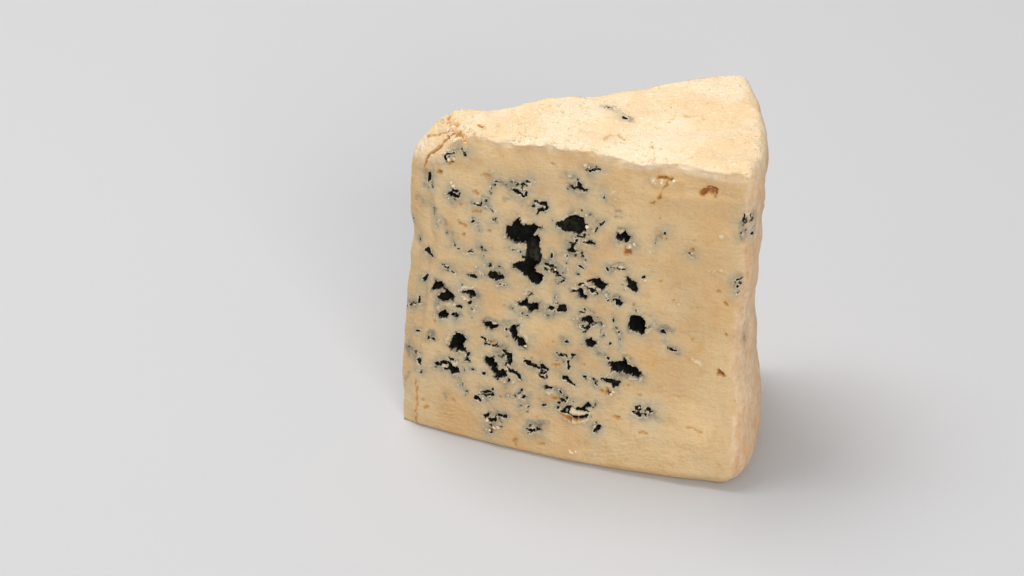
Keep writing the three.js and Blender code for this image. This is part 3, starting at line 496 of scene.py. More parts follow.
# Faint grey lines where mould runs just under the face: width, depth and path.
GREYS = [
    (0.7, 0.15, [(5, 70.5), (5.8, 69.8), (6.2, 68)]), (1.4, 0.1, [(35.5, 61.2), (38.5, 62), (42.8, 59)]),
    (0.8, 0.1, [(19.5, 40.1), (25, 40), (28, 40.9), (30, 39)]),
    (0.8, 0.15, [(7, 39.6), (8.2, 40.1), (10, 39.4)]), (1.0, 0.1, [(21.5, 29), (24.7, 28.6)]),
    (0.8, 0.15, [(65, 47.2), (67, 48.3), (69, 48)]),
    (0.8, 0.15, [(60.5, 35.2), (62.5, 35.7), (64, 34.5)]),
    (1.2, 0.1, [(40, 22.8), (42, 21.4), (44.4, 20.8)]),
    (0.8, 0.15, [(57.3, 52.4), (58.2, 53), (59.4, 51.8)]),
    (0.8, 0.15, [(47.5, 47), (49.5, 47.8), (51, 46.5)]),
    (0.8, 0.15, [(55.8, 73), (56.3, 73.9), (58, 74.3), (59.6, 73.2)]),
    (0.7, 0.15, [(55.8, 79.1), (57.3, 79)]), (0.6, 0.15, [(55.4, 77.2), (57.2, 77.4)]),
    (0.8, 0.2, [(56.6, 63), (57.6, 63.5), (58.5, 63)]),
    (0.7, 0.1, [(30.1, 18.4), (30.4, 19.6), (31.5, 20.1), (33.3, 19.6)]),
    (0.8, 0.1, [(3, 30.6), (3.8, 32.4), (4.8, 31.4)]), (1.6, 0.05, [(33.5, 10), (36, 11), (38.4, 11.4)]),
    (1.2, 0.05, [(9.4, 13.4), (9.4, 11.6)]), (1.6, 0.05, [(20.5, 82.5), (23.5, 81.4)]),
    (1.0, 0.05, [(23.4, 77.4), (24.2, 77.2)]), (1.6, 0.05, [(68.5, 20), (72.5, 18.6)]),
    (1.4, 0.05, [(71, 44.6), (75.5, 45)]), (1.2, 0.05, [(74.5, 40.4), (73, 41.6)]),
    (1.0, 0.05, [(67, 72), (69, 74.5)]), (1.6, 0.05, [(-1.1, 79), (-0.8, 76.8)]),
    (1.2, 0.05, [(-4.8, 72.3), (-1.1, 73.7)]), (1.2, 0.05, [(-2.3, 71.9), (0, 71.9), (2.6, 71.9)]),
    (0.8, 0.05, [(-4.9, 13.6), (-2.5, 17.4), (-1.4, 18.9)]), (1.8, 0.05, [(-5, 36.6), (-1, 39.6)]),
    (1.8, 0.05, [(-5, 24), (-1, 22.4)]), (2.2, 0.05, [(51, 120.4), (57, 115.2)]),
]

# Chatter of the blade: short ridges side by side. Middle along and up, length, how many, spacing, tilt and
# height.
CHATTER = [
    (9, 7.4, 7.5, 5, 1.15, 12, 0.13), (30.6, 11.6, 2.8, 5, 0.85, 6, 0.12),
    (54.8, 6.5, 9, 4, 1.3, 14, 0.05), (64, 9, 12, 6, 1.2, 18, 0.06), (82, 12, 12, 6, 1.3, 16, 0.05),
    (55.6, 83.6, 3.6, 3, 0.9, -4, 0.08), (18, 84.4, 4, 3, 0.9, 4, 0.06), (72, 63, 6, 3, 1.4, 12, 0.04),
    (76, 26, 9, 4, 1.6, 10, 0.04), (24, 6.6, 5, 4, 1.1, -6, 0.1), (36, 10.4, 5, 3, 1.0, 4, 0.08),
    (84, 60, 8, 4, 1.6, 8, 0.04), (40, 88, 8, 3, 1.4, 4, 0.04), (12, 63, 6, 3, 1.5, -10, 0.04),
]

# Crumbly places where torn paste and mould mix: middle along and up, length, width, tilt and strength.
CRUMBLY = [
    (39.5, 58.5, 8, 5, -25, 1.0), (47, 90.4, 8, 3.6, 15, 1.0), (27.3, 81.4, 6.6, 4.6, -10, 0.95),
    (4.8, 87.4, 5, 5, 15, 0.8), (8.4, 77.9, 4.6, 3.4, 0, 0.9), (15, 75.3, 4.4, 2.6, 0, 0.8),
    (-0.4, 79.2, 3.4, 5, 0, 1.0), (48.6, 74.2, 4.4, 5, 0, 0.8), (60.4, 69.2, 4.6, 3.4, -20, 0.8),
    (45.4, 65.4, 7, 5.4, 0, 0.7), (57.4, 61.9, 6.4, 2.8, 5, 0.7), (58.2, 51, 4.4, 3.4, 0, 0.7),
    (12.6, 43.6, 5, 3.6, 0, 0.7), (27, 28.5, 5, 7.4, 20, 0.8), (35.5, 27.8, 8, 3.2, -15, 0.9),
    (37.3, 26.2, 3.6, 2.6, -10, 1.0), (51.4, 18.8, 4.4, 2.8, 0, 0.6), (23.8, 8, 7, 7.4, 0, 0.9),
    (35.2, 9.6, 5.4, 3.4, 0, 0.8), (67.2, 20.2, 7, 3.2, -10, 1.0), (53.2, 12.2, 3.6, 3.2, 30, 0.7),
    (57, 27.2, 7, 4, 0, 0.6), (56, 24, 4.6, 2.6, 0, 0.7), (31.8, 17, 3.6, 5.4, 0, 0.6),
    (20, 15.6, 5.6, 3.6, 0, 0.6), (94, 79.4, 3.4, 9, 0, 1.0), (93.4, 62.3, 3.6, 7, 0, 1.1),
    (72.8, 43.4, 5, 3, 0, 0.5), (3.9, 30.6, 4, 3.6, 0, 0.8), (4.6, 44.4, 8, 6.4, 0, 0.5),
    (1.6, 55.4, 3.4, 3.4, -30, 0.9), (21, 71, 3.4, 3, 0, 0.7), (42, 63.6, 12, 4, 0, 0.4),
    (62.2, 44.6, 7, 6, 0, 0.4), (22.4, 55, 7, 4, -10, 0.5), (7, 51.6, 5, 2.4, -10, 0.6),
    (27, 34, 6, 7, 0, 0.35), (42, 31.4, 6, 5, -20, 0.5), (33, 77, 4.4, 4.4, 0, 0.5),
    (44.6, 83.2, 5.6, 2.6, 0, 0.6), (97, 78.4, 4, 9, 0, 1.0), (101.4, 42.5, 3, 5, 0, 0.7),
    (52.6, 120.4, 4, 3, 0, 0.8), (55.8, 115.2, 3.4, 2.4, 0, 0.9), (51, 103.4, 3.6, 3.4, 0, 0.5),
    (72.4, 119.6, 3, 2, 0, 0.6), (-4, 38.4, 6, 5, 0, 0.7), (-2.6, 22.4, 5, 4, 0, 0.8),
    (57, 78.2, 3.4, 4, 0, 0.5), (30, 11.4, 4, 4, 0, 0.3), (10.6, 22.6, 6, 4, 0, 0.5),
    (67.4, 73.4, 4, 5, 0, 0.35),
]

# Marks by rule: openings of the back cut, its short slits, ochre pits and crumbly places, and on both cuts
# strings of specks. All counts, and millimetres along and up.
BACK_SCATTER = {"count": 26, "along": (8, 66), "up": (10, 84), "wide": (2.6, 9.0), "seed": 29}
BACK_SLITS, BACK_OCHRES, BACK_CRUMBLY, BACK_SEED = 90, 40, 34, 61
BACK_UP, BACK_VEINED, BACK_OCHRE_ALONG, BACK_CRUMBLY_ALONG = (6, 88), (4, 72), (4, 90), (2, 74)
FRONT_SPECKLE = {"count": 150, "seed": 81, "along": (0.5, 70), "up": (5, 90), "centre": (28, 48),
                 "reach": (44, 46)}
BACK_SPECKLE = {"count": 150, "seed": 83, "along": (0.5, 76), "up": (5, 90), "centre": (36, 48),
                "reach": (44, 46)}

EDGE_FADE = 0.9             # openings close before the edge of the cut
WALL_RUN = 0.22             # how far in from its edge a wall has gone about two thirds of the way down
MOST_OF_THICKNESS = 0.42    # an opening goes no deeper than this share of the cheese behind it
HAZE_REACH = 1.1            # how far the grey of the mould spreads round an opening
BOLDER = 0.07               # how far the dark of a slit reaches past its sunk part
SNAP = 0.55                 # points nearer to a mouth's edge than this share of a cell move onto it
FAR = 5.0                   # distances to marks are kept up to here
VEIL_REACH = 2.6            # how far the paste is paler and greyer round the mould
UNDER_LIP = 0.3             # groove under the torn edge of the rind
FLECK_FROM = (2.1, 0.5)     # how high the waves of flecks have to stand, in smooth and in crumbly paste
FLECK_DEEP, FLECK_HIGH, FLECK_SHIFT = 0.5, 0.3, (0.15, -0.55)
MOUTH_CRUMBLY, MOUTH_CRUMBLY_REACH = 0.62, 0.9      # how crumbly the paste is at an opening, and how far
SPECK_HEADING, SPECK_TURN, SPECK_STEP = (-75, 15), (-40, 40), (0.9, 2.0)    # degrees, degrees, millimetres
SPECK_RUN, SPECK_WIDE, SPECK_DEEP, SMUDGE_WIDE = (0.2, 0.9), (0.22, 0.62), (0.2, 0.5), (0.5, 1.5)
SMUDGE_SHARE, SMUDGE_DEEP = 0.4, 0.04


def to_outline(points, corners):
    """Distance to a closed outline of straight sides, negative inside: the distance to its nearest side,
    with its sign from counting the sides that a level line to the right crosses."""
    corners = np.asarray(corners, float)
    far = to_path(points, np.vstack([corners, corners[:1]]))
    x, y = points.T
    crossings = np.zeros(len(points), int)
    for (x0, y0), (x1, y1) in zip(corners, np.roll(corners, -1, 0)):
        spans = (y0 > y) != (y1 > y)
        at_x = x0 + (y - y0) * (x1 - x0) / ((y1 - y0) or 1e-9)
        crossings += spans & (x < at_x)
    return np.where(crossings % 2 == 1, -far, far)


def oval(at, size, tilt):
    """Twelve corners of an oval, tilted by an angle in degrees."""
    turn, angle = np.radians(tilt), np.linspace(0, 2 * np.pi, 13)[:-1]
    u, v = size[0] / 2 * np.cos(angle), size[1] / 2 * np.sin(angle)
    return np.stack([at[0] + u * np.cos(turn) - v * np.sin(turn),
                     at[1] + u * np.sin(turn) + v * np.cos(turn)], -1)


def scattered(count, along, up, wide, seed):
    """Openings spread by rule: many small and few large, anywhere in a field of the cut."""
    draw = seeded(seed)
    openings = []
    for _ in range(count):
        width = lerp(*wide, draw() ** 2.2)
        at = (lerp(*along, draw() ** 0.9), lerp(*up, draw()))
        size = (width, width * lerp(0.4, 0.85, draw()))
        tilt = lerp(-40, 30, draw())
        openings.append((width * lerp(0.5, 0.8, draw()), 0.3, oval(at, size, tilt)))
    return openings


class Cut:
    """The relief of one cut and the marks that colour it, gathered point by point. Points are (along, up) in
    mm on the unfolded outside, and each mark keeps the distance to its edge, negative inside."""

    def __init__(self, points, seed):
        self.points = points
        # outlines are drawn on points bent by waves about 3 and 1 mm long, so no edge is straight
        waves = [unevenness(seed + k, size, 12)(points) for k, size in enumerate((3.1, 3.1, 1.15, 1.15))]
        self.bent = points + 0.3 * np.stack(waves[:2], -1) + 0.2 * np.stack(waves[2:], -1)
        self.wave = unevenness(seed + 9, 2.2, 12)(points)
        self.fleck_wave = unevenness(seed + 10, 1.5, 26)
        self.edge, self.white, self.ochre, self.torn = [np.full(len(points), FAR) for _ in range(4)]
        self.depth, self.raised, self.olive, self.grey, self.crumbly = np.zeros((5, len(points)))

    def close_to(self, path, reach):
        """Numbers of the points in the box round a path, widened by a reach."""
        low, high = np.min(path, 0) - reach, np.max(path, 0) + reach
        return np.flatnonzero(((self.points > low) & (self.points < high)).all(1))

    def keep(self, name, here, values, pick=np.minimum):
        """Keeps in a field, at some of the points, the smaller or larger of its old and the new values."""
        field = getattr(self, name)
        field[here] = pick(field[here], values)

    def mouth(self, deep, runs_out, corners):
        """An opening: its wall drops away exponentially inside the outline, and its floor rises to the low
        side."""
        here = self.close_to(corners, FAR + 1)
        edge = to_outline(self.bent[here], corners)
        low, high = np.min(corners, 0)[1], np.max(corners, 0)[1]
        down = np.clip((high - self.bent[here, 1]) / (high - low), 0, 1)
        depth = deep * (1 - np.exp(-np.clip(-edge, 0, None) / WALL_RUN)) * (1 - runs_out * down ** 1.6)
        self.keep("edge", here, edge)
        self.keep("depth", here, depth, np.maximum)
        self.keep("olive", here, smoothstep(-edge, 0, 0.6) * runs_out * down, np.maximum)

    def stroke(self, kind, wide, amount, path):
        """A mark of even width along a path: sunk if it is mould, ochre or grey, raised if it is white."""
        here = self.close_to(path, wide / 2 + FAR)
        inside = wide / 2 - to_path(self.bent[here], path)
        mask = smoothstep(inside, -0.1 * wide, 0.3 * wide)
        self.keep("raised" if kind == "white" else "depth", here, amount * mask, np.maximum)
        if kind == "grey":
            self.keep("grey", here, smoothstep(inside, -0.5, 0.25), np.maximum)
        else:
            self.keep("edge" if kind == "mould" else kind, here, -inside - BOLDER * (kind == "mould"))

    def crumble(self, along, up, long, wide, tilt, strength):
        """A crumbly place: a tilted oval whose strength fades towards its edge."""
        turn = math.radians(tilt)
        u, v = (self.bent - (along, up)).T
        share = np.hypot((u * math.cos(turn) + v * math.sin(turn)) / (long / 2),
                         (v * math.cos(turn) - u * math.sin(turn)) / (wide / 2))
        self.crumbly = np.maximum(self.crumbly, strength * (1 - smoothstep(share, 0.55, 1.15)))

    def fleck(self):
        """Fine flecks of mould and torn paste in the crumbly places and round the openings: where the waves
        stand high it is sunk and dark, and where they do so just beside the point, raised and white. How
        high they have to stand falls with the crumbliness."""
        near_mouth = np.exp(-np.clip(self.edge, 0, None) / MOUTH_CRUMBLY_REACH)
        crumbly = np.maximum(self.crumbly, MOUTH_CRUMBLY * near_mouth)
        level = lerp(*FLECK_FROM, crumbly)
        dark = self.fleck_wave(self.points) - level
        pale = self.fleck_wave(self.points + FLECK_SHIFT) - level - 0.1
        self.depth = np.maximum(self.depth, FLECK_DEEP * smoothstep(dark, 0, 0.5) * (crumbly > 0.1))
        outside = self.edge > 0.1
        self.raised = np.maximum(self.raised, FLECK_HIGH * smoothstep(pale, 0, 0.4) * outside)
        self.white = np.where(outside, np.minimum(self.white, 0.1 - 0.45 * pale), self.white)
        self.torn = np.where(crumbly > 0.1, -0.45 * dark, FAR)

    def chatter(self, along, up, length, count, spacing, tilt, high):
        """Short parallel ridges: a cosine across, faded at their ends."""
        turn = math.radians(tilt)
        u, v = (self.points - (along, up)).T
        run = u * math.cos(turn) + v * math.sin(turn)
        across = v * math.cos(turn) - u * math.sin(turn) + 0.25 * self.wave
        inside = smoothstep(-np.abs(run), -length / 2, -length / 2 + 1.5) \
            * smoothstep(-np.abs(across), -count * spacing / 2, -count * spacing / 2 + 0.5)
        self.raised += 1.8 * high * inside * np.cos(2 * math.pi * across / spacing)


def speckle(cut, count, seed, along, up, centre, reach):
    """Strings of small specks of mould that wander down and away from the tip, and grey smudges with them,
    thick near the middle of the veined paste and none at its edge."""
    draw = seeded(seed)
    for _ in range(count):
        at = np.array([lerp(*along, draw()), lerp(*up, draw())])
        if draw() < np.hypot(*((at - centre) / reach)) ** 1.5:
            continue
        heading = np.radians(lerp(*SPECK_HEADING, draw()))
        for _ in range(1 + int(4 * draw() ** 1.5)):
            run = lerp(*SPECK_RUN, draw()) * np.array([math.cos(heading), math.sin(heading)])
            cut.stroke("mould", lerp(*SPECK_WIDE, draw() ** 1.6), lerp(*SPECK_DEEP, draw()), [at, at + run])
            if draw() < SMUDGE_SHARE:
                cut.stroke("grey", lerp(*SMUDGE_WIDE, draw()), SMUDGE_DEEP, [at - run, at + 1.6 * run])
            heading += np.radians(lerp(*SPECK_TURN, draw()))
            at = at + lerp(*SPECK_STEP, draw()) * np.array([math.cos(heading), math.sin(heading)])


def front_marks(points):
    """The front cut's marks, from the tables."""
    cut = Cut(points, 40)
    speckle(cut, **FRONT_SPECKLE)
    for row in MOUTHS:
        cut.mouth(*row)
    for kind, rows in (("mould", SLITS), ("white", WHITES), ("ochre", OCHRE_AND_SHADE_MARKS), ("grey", GREYS)):
        for row in rows:
            cut.stroke(kind, *row)
    for row in CRUMBLY:
        cut.crumble(*row)
    cut.fleck()
    for row in CHATTER:
        cut.chatter(*row)
    return cut


def back_marks(points):
    """The back cut's marks, by rule; the blade's chatter is the front cut's, turned round."""
    cut = Cut(points, 60)
    speckle(cut, **BACK_SPECKLE)
    for row in scattered(**BACK_SCATTER):
        cut.mouth(*row)
    draw = seeded(BACK_SEED)
    for _ in range(BACK_SLITS):
        at = np.array([lerp(*BACK_VEINED, draw()), lerp(*BACK_UP, draw())])
        run = np.array([lerp(-1.6, 1.6, draw()), lerp(-0.9, 0.9, draw())])
        cut.stroke("mould", lerp(0.8, 1.6, draw() ** 2), lerp(0.4, 1.2, draw()), [at, at + run])
    for _ in range(BACK_OCHRES):
        at = np.array([lerp(*BACK_OCHRE_ALONG, draw()), lerp(*BACK_UP, draw())])
        wide, deep = lerp(0.7, 1.4, draw()), lerp(0.3, 0.7, draw())
        cut.stroke("ochre", wide, deep, [at, at + (lerp(-0.8, 0.8, draw()), 0.1)])
    for _ in range(BACK_CRUMBLY):
        cut.crumble(lerp(*BACK_CRUMBLY_ALONG, draw()), lerp(*BACK_UP, draw()), lerp(3, 8, draw()),
                    lerp(2.4, 5, draw()), lerp(-40, 30, draw()), lerp(0.5, 1, draw()))
    cut.fleck()
    for along, up, length, count, spacing, tilt, high in CHATTER:
        cut.chatter(WEDGE_LENGTH - along, up, length, count, spacing, -tilt, high)
    return cut


def normals_of(p, outward):
    """Unit normals of a grid of points: the cross product of its two directions, times 1 or -1."""
    across = np.cross(np.gradient(p, axis=0), np.gradient(p, axis=1))
    return across / np.maximum(np.linalg.norm(across, axis=-1, keepdims=True), 1e-9) * outward


def relieved(a, c, b, marks):
    """Points of one cut with its openings sunk in and its torn edges raised, and its marks. Each point moves
    along the outward normal of the smooth cut, less and less towards the cut's edge. The marks are laid out
    in the rounded section, as the photo shows them."""
    shape = a.shape
    height = lerp(HEIGHT_AT_TIP, HEIGHT_AT_RIND, a)
    flat = np.stack([a * WEDGE_LENGTH, c * height], -1)
    cell = np.stack(np.meshgrid(np.gradient(flat[:, 0, 0]), np.gradient(flat[0, :, 1]), indexing="ij"), -1)

    def marked(flat):
        x, z = rounded_section(flat[..., 0], flat[..., 1], WEDGE_LENGTH, height)
        return marks(np.stack([x, z], -1).reshape(-1, 2))

    # points that lie close to the edge of a mouth move onto it, so that the edges are crisp
    edge = marked(flat).edge.reshape(shape)
    slope = np.stack([np.gradient(edge, axis=0) / cell[..., 0], np.gradient(edge, axis=1) / cell[..., 1]], -1)
    steep = (slope ** 2).sum(-1)
    shift = -edge[..., None] * slope / np.maximum(steep, 0.3)[..., None]
    small = (np.abs(shift) < SNAP * cell).all(-1)
    small[[0, -1], :] = False
    small[:, [0, -1]] = False
    flat = flat + np.where(small[..., None], shift, 0)
    a = flat[..., 0] / WEDGE_LENGTH
    c = flat[..., 1] / lerp(HEIGHT_AT_TIP, HEIGHT_AT_RIND, a)

    p = surface(a, b, c)
    thick = np.linalg.norm(surface(a, 1 - b, c) - p, axis=-1)
    cut = marked(flat)
    from_top = height - flat[..., 1]
    border = np.minimum.reduce([flat[..., 0], WEDGE_LENGTH - flat[..., 0], flat[..., 1], from_top])
    fade = smoothstep(border, 0, EDGE_FADE)
    depth = np.minimum(cut.depth.reshape(shape), MOST_OF_THICKNESS * thick)
    lip = smoothstep(from_top, 0.3, 1.1) * (1 - smoothstep(from_top, 1.5, 3.4)) \
        * np.clip(0.6 + 0.6 * lip_tears[0](p), 0, 1)
    move = (cut.raised.reshape(shape) - depth - UNDER_LIP * lip) * fade
    return grained(p) + normals_of(p, 1 - 2 * b) * move[..., None], cut


# The skin: a fine grid on the front cut, a grid half as fine on the back cut, and rings between them round
# the base, the rind, the top and the tip.
ALONG_CELLS, UP_CELLS = 236, 236
FINE_UNTIL, FINE_SHARE = 72.0, 0.8      # most of the columns stand where the openings are
RINGS, RING_CROWDING = 52, 0.35         # the rings stand closer near the two cuts
RING_FADE_IN = 30                       # how fast the front cut's relief comes in past its rim
TIP_CRACK_SHADE_FROM = 80                     # the crack's painted ochre shade starts this high

fine = round(ALONG_CELLS * FINE_SHARE)
along_lines = np.concatenate([
    np.linspace(0, FINE_UNTIL, fine + 1),
    np.linspace(FINE_UNTIL, WEDGE_LENGTH, ALONG_CELLS - fine + 1)[1:]]) / WEDGE_LENGTH
up_lines = np.linspace(0, 1, UP_CELLS + 1)


def rim(grid):
    """Values of a grid round its edge: along the base, up the rind, back along the top, down the tip."""
    return np.concatenate([grid[:-1, 0], grid[-1, :-1], grid[:0:-1, -1], grid[0, :0:-1]])


front_a, front_c = np.meshgrid(along_lines, up_lines, indexing="ij")
back_a, back_c = front_a[::2, ::2], front_c[::2, ::2]
front_points, front_cut = relieved(front_a, front_c, 0, front_marks)
back_points, back_cut = relieved(back_a, back_c, 1, back_marks)

# The rings carry on the front cut's marks, unfolded over its edges: up past the lip, out past tip and rind.
share = np.linspace(0, 1, RINGS + 1)[1:-1, None]
share = share - RING_CROWDING * np.sin(2 * np.pi * share) / (2 * np.pi)
ring_a, ring_c = rim(back_a)[None, :], rim(back_c)[None, :]
ring_base = surface(ring_a, share, ring_c)
wide = np.linalg.norm(surface(ring_a, 1, ring_c) - surface(ring_a, 0, ring_c), axis=-1) * share
ring_height = lerp(HEIGHT_AT_TIP, HEIGHT_AT_RIND, ring_a)
section = np.stack(
    rounded_section(ring_a * WEDGE_LENGTH, ring_c * ring_height, WEDGE_LENGTH, ring_height), -1)
along_rim = np.roll(section, -1, 1) - np.roll(section, 1, 1)
out_of_rim = np.stack([along_rim[..., 1], -along_rim[..., 0]], -1)
out_of_rim /= np.linalg.norm(along_rim, axis=-1, keepdims=True)
unfolded = section + wide[..., None] * out_of_rim
ring_cut = front_marks(unfolded.reshape(-1, 2))
looped = np.concatenate([ring_base[:, -1:], ring_base, ring_base[:, :1]], 1)
ring_normal = normals_of(looped, 1)[:, 1:-1]
ring_fade = np.clip(share * RING_FADE_IN, 0, 1) * (ring_c > 0)
ring_move = (ring_cut.raised - ring_cut.depth).reshape(ring_base.shape[:2]) * ring_fade
# the crack is coloured ochre as painted shade, from that height up
in_crack = to_crack(ring_base) - 0.3 * TIP_CRACK_WIDE
up_there = ring_base[..., 2].reshape(-1) > TIP_CRACK_SHADE_FROM
ring_cut.ochre = np.where(up_there, np.minimum(ring_cut.ochre, in_crack), ring_cut.ochre)
ring_points = grained(ring_base) + ring_normal * ring_move[..., None]

front_index = np.arange(front_a.size).reshape(front_a.shape)
back_index = front_a.size + np.arange(back_a.size).reshape(back_a.shape)
ring_index = front_a.size + back_a.size + np.arange(ring_points[..., 0].size).reshape(ring_points.shape[:2])
front_rim, back_rim = rim(front_index), rim(back_index)


def quads(first, second):
    """Faces between two rows of points that run side by side."""
    return np.stack([first, second, np.roll(second, -1, -1), np.roll(first, -1, -1)], -1).reshape(-1, 4)


def cells(index):
    """Four-cornered faces of a grid, turned so that its front looks out of the front cut."""
    return np.stack([index[:-1, :-1], index[1:, :-1], index[1:, 1:], index[:-1, 1:]], -1).reshape(-1, 4)


# the back grid's cells are turned the other way; the joining triangles step from the fine rim to the ring
front_faces = cells(front_index)
back_faces = cells(back_index)[:, [0, 3, 2, 1]]
even, odd, even_next = front_rim[::2], front_rim[1::2], np.roll(front_rim[::2], -1)
ring, ring_next = ring_index[0], np.roll(ring_index[0], -1)
joining = np.concatenate([np.stack([even, ring, odd], -1), np.stack([odd, ring, ring_next], -1),
                          np.stack([odd, ring_next, even_next], -1)])
between = quads(ring_index[:-1], ring_index[1:])
closing = quads(ring_index[-1], back_rim)

points = np.concatenate([front_points.reshape(-1, 3), back_points.reshape(-1, 3), ring_points.reshape(-1, 3)])

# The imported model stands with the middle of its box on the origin. Its box is that of a coarse grid of
# points, as in the solid.
box_grid = np.meshgrid(np.linspace(0, 1, 26), np.linspace(0, 1, 10), np.linspace(0, 1, 27), indexing="ij")
crowd = [u - 0.5 * np.sin(2 * np.pi * u) / (2 * np.pi) for u in (box_grid[0], box_grid[2])]
outline_points = surface(crowd[0], box_grid[1], crowd[1]).reshape(-1, 3)
middle = (outline_points.min(0) + outline_points.max(0)) / 2
middle[2] = 0


def mesh_piece(name, vertices, faces):
    """A mesh object at the origin, from points in millimetres of the drum's frame and groups of faces."""
    mesh = bpy.data.meshes.new(name)
    mesh.from_pydata(((vertices - middle) * MM).tolist(), [], [f for group in faces for f in group.tolist()])
    mesh.update()
    mesh.polygons.foreach_set("use_smooth", np.full(len(mesh.polygons), True))
    piece = bpy.data.objects.new(name, mesh)
    bpy.context.scene.collection.objects.link(piece)
    return piece


cheese = mesh_piece("cheese_body", points, [front_faces, back_faces, joining, between, closing])
cuts = (front_cut, back_cut, ring_cut)


def attribute(piece, name, values):
    """A number for each point of a piece, for its material to read."""
    made = piece.data.attributes.new(name, "FLOAT", "POINT")
    made.data.foreach_set("value", np.asarray(values, np.float32))


def haze_of(cut):
    """Grey of mould under the face: falls off with distance from the openings, in patches."""
    patchy = unevenness(71, 6, 10)(cut.points)
    round_mould = np.exp(-np.clip(cut.edge, 0, None) / (HAZE_REACH * (1 + 0.3 * patchy)))
    return np.clip(round_mould * (0.9 + 0.3 * patchy) + 0.6 * cut.grey + 0.35 * cut.crumbly, 0, 1)


def veil_of(cut):
    """Broad paler and greyer paste between the openings."""
    patchy = unevenness(74, 22, 10)(cut.points)
    return np.clip(np.exp(-np.clip(cut.edge, 0, None) / VEIL_REACH) + 0.12 * patchy, 0, 1)


for name in ("edge", "white", "ochre", "torn", "olive"):
    attribute(cheese, name, np.concatenate([getattr(cut, name) for cut in cuts]))
attribute(cheese, "haze", np.concatenate([haze_of(cut) for cut in cuts]))
attribute(cheese, "veil", np.concatenate([veil_of(cut) for cut in cuts]))

# Where the rind shows: in a pale band on the edges of the cuts, and on the rings, save on the tip below
# its crust.
RIND_BAND, WIDER_BAND = 2.6, 2.6        # width of the pale band, and how much wider it is near the rind's end
TIP_BAND_LOSS, TIP_RIND_ENDS = 5, (-0.91, -0.87)        # the band leaves the tip below the shoulder
TIP_CRUST = (83, 86)                    # between these heights the crust takes over on the blunt tip


def rind_field(a, c):
    """Rind in an uneven pale band along the edge of a cut: at the top, down the shoulder and at the side."""
    flat = np.stack([a * WEDGE_LENGTH, c * HEIGHT_AT_RIND], -1)
    from_top = (1 - c) * HEIGHT_AT_RIND - WIDER_BAND * smoothstep(a, 0.7, 0.9)
    from_side = (1 - a) * WEDGE_LENGTH
    from_tip = a * WEDGE_LENGTH + TIP_BAND_LOSS * smoothstep(-c, *TIP_RIND_ENDS)
    nearest = np.minimum.reduce([from_top, from_side, from_tip])
    nearest = nearest + 0.6 * unevenness(72, 8, 10)(flat) + 0.4 * unevenness(73, 2.5, 10)(flat)
    return smoothstep(-nearest, -RIND_BAND, 0.2).reshape(-1)


def side_field(a, c):
    """Share of the side's rind at the rind's end of a cut, up to the shoulder."""
    return (smoothstep(a, 0.9, 0.99) * smoothstep(-c, -0.98, -0.9)).reshape(-1)


on_tip = (ring_a == 0) & (ring_c < 1)
tip_rind = smoothstep(ring_base[..., 2] + 0.8 * unevenness(77, 3, 10)(ring_base) + 0.25 * wide, *TIP_CRUST)
ring_rind = np.where(on_tip, tip_rind, 1)
below_lip = smoothstep(ring_height - ring_base[..., 2], 0.5, 7)
ring_side = np.where((ring_a > 0.99) | (ring_c < 0.5), below_lip, 0)
for name, field_of, on_rings in (("rind", rind_field, ring_rind), ("side", side_field, ring_side)):
    attribute(cheese, name, np.concatenate(
        [field_of(front_a, front_c), field_of(back_a, back_c), on_rings.reshape(-1)]))


def tree_of(material):
    """Function that adds a node to an emptied material. Inputs go by label, with _ for a space, or by i and
    their number; a socket is linked and any other value is set."""
    material.use_nodes = True
    tree = material.node_tree
    tree.nodes.clear()

    def node(kind, **inputs):
        made = tree.nodes.new(kind)
        for key, value in inputs.items():
            if key in ("operation", "data_type", "attribute_name", "interpolation_type"):
                setattr(made, key, value)
                continue
            numbered = key[0] == "i" and key[1:].isdigit()
            socket = made.inputs[int(key[1:]) if numbered else key.replace("_", " ")]
            if isinstance(value, bpy.types.NodeSocket):
                tree.links.new(value, socket)
            else:
                socket.default_value = value
        return made

    return node


def linear(red, green, blue):
    """Screen colour from 0 to 255 as a linear one."""
    return [((v / 255 + 0.055) / 1.055) ** 2.4 if v > 10 else v / 255 / 12.92
            for v in (red, green, blue)] + [1]


# Colours of the cheese.
PASTE_DEEP, PASTE_PALE, PASTE_OCHRE = linear(223, 182, 127), linear(233, 199, 148), linear(208, 160, 98)
PASTE_GREY = linear(212, 194, 158)
RIND_DEEP, RIND_PALE = linear(240, 208, 162), linear(246, 223, 188)
RIND_OCHRE, RIND_CRYSTAL = linear(228, 180, 128), linear(255, 246, 230)
SIDE_DEEP, SIDE_PALE, SIDE_DARK = linear(232, 186, 138), linear(242, 212, 174), linear(208, 154, 110)
HAZE_DARK, HAZE_PALE = linear(116, 116, 104), linear(168, 161, 139)
OCHRE_DEEP, OCHRE_PALE = linear(156, 92, 34), linear(210, 156, 88)
TORN_WHITE_AND_HIGHLIGHT, TORN_DARK = linear(248, 228, 196), linear(46, 40, 28)
# mould colours: dark green mould with the painted shade of the openings in it
SHADED_MOULD_BLACK, MOULD_GREEN = linear(8, 6, 4), linear(26, 26, 20)
FLOOR_DARK, FLOOR_PALE = linear(34, 32, 20), linear(86, 82, 60)         # floors of the openings: mould colour with less painted shade where they run out
GRAIN_DEEP, GRAIN_PALE = linear(240, 206, 160), linear(252, 232, 204)
UPRIGHT, DRAWN_OUT = (1, 1, 0.25), (0.3, 1, 1)      # noise drawn out upwards, and along the blade's stroke


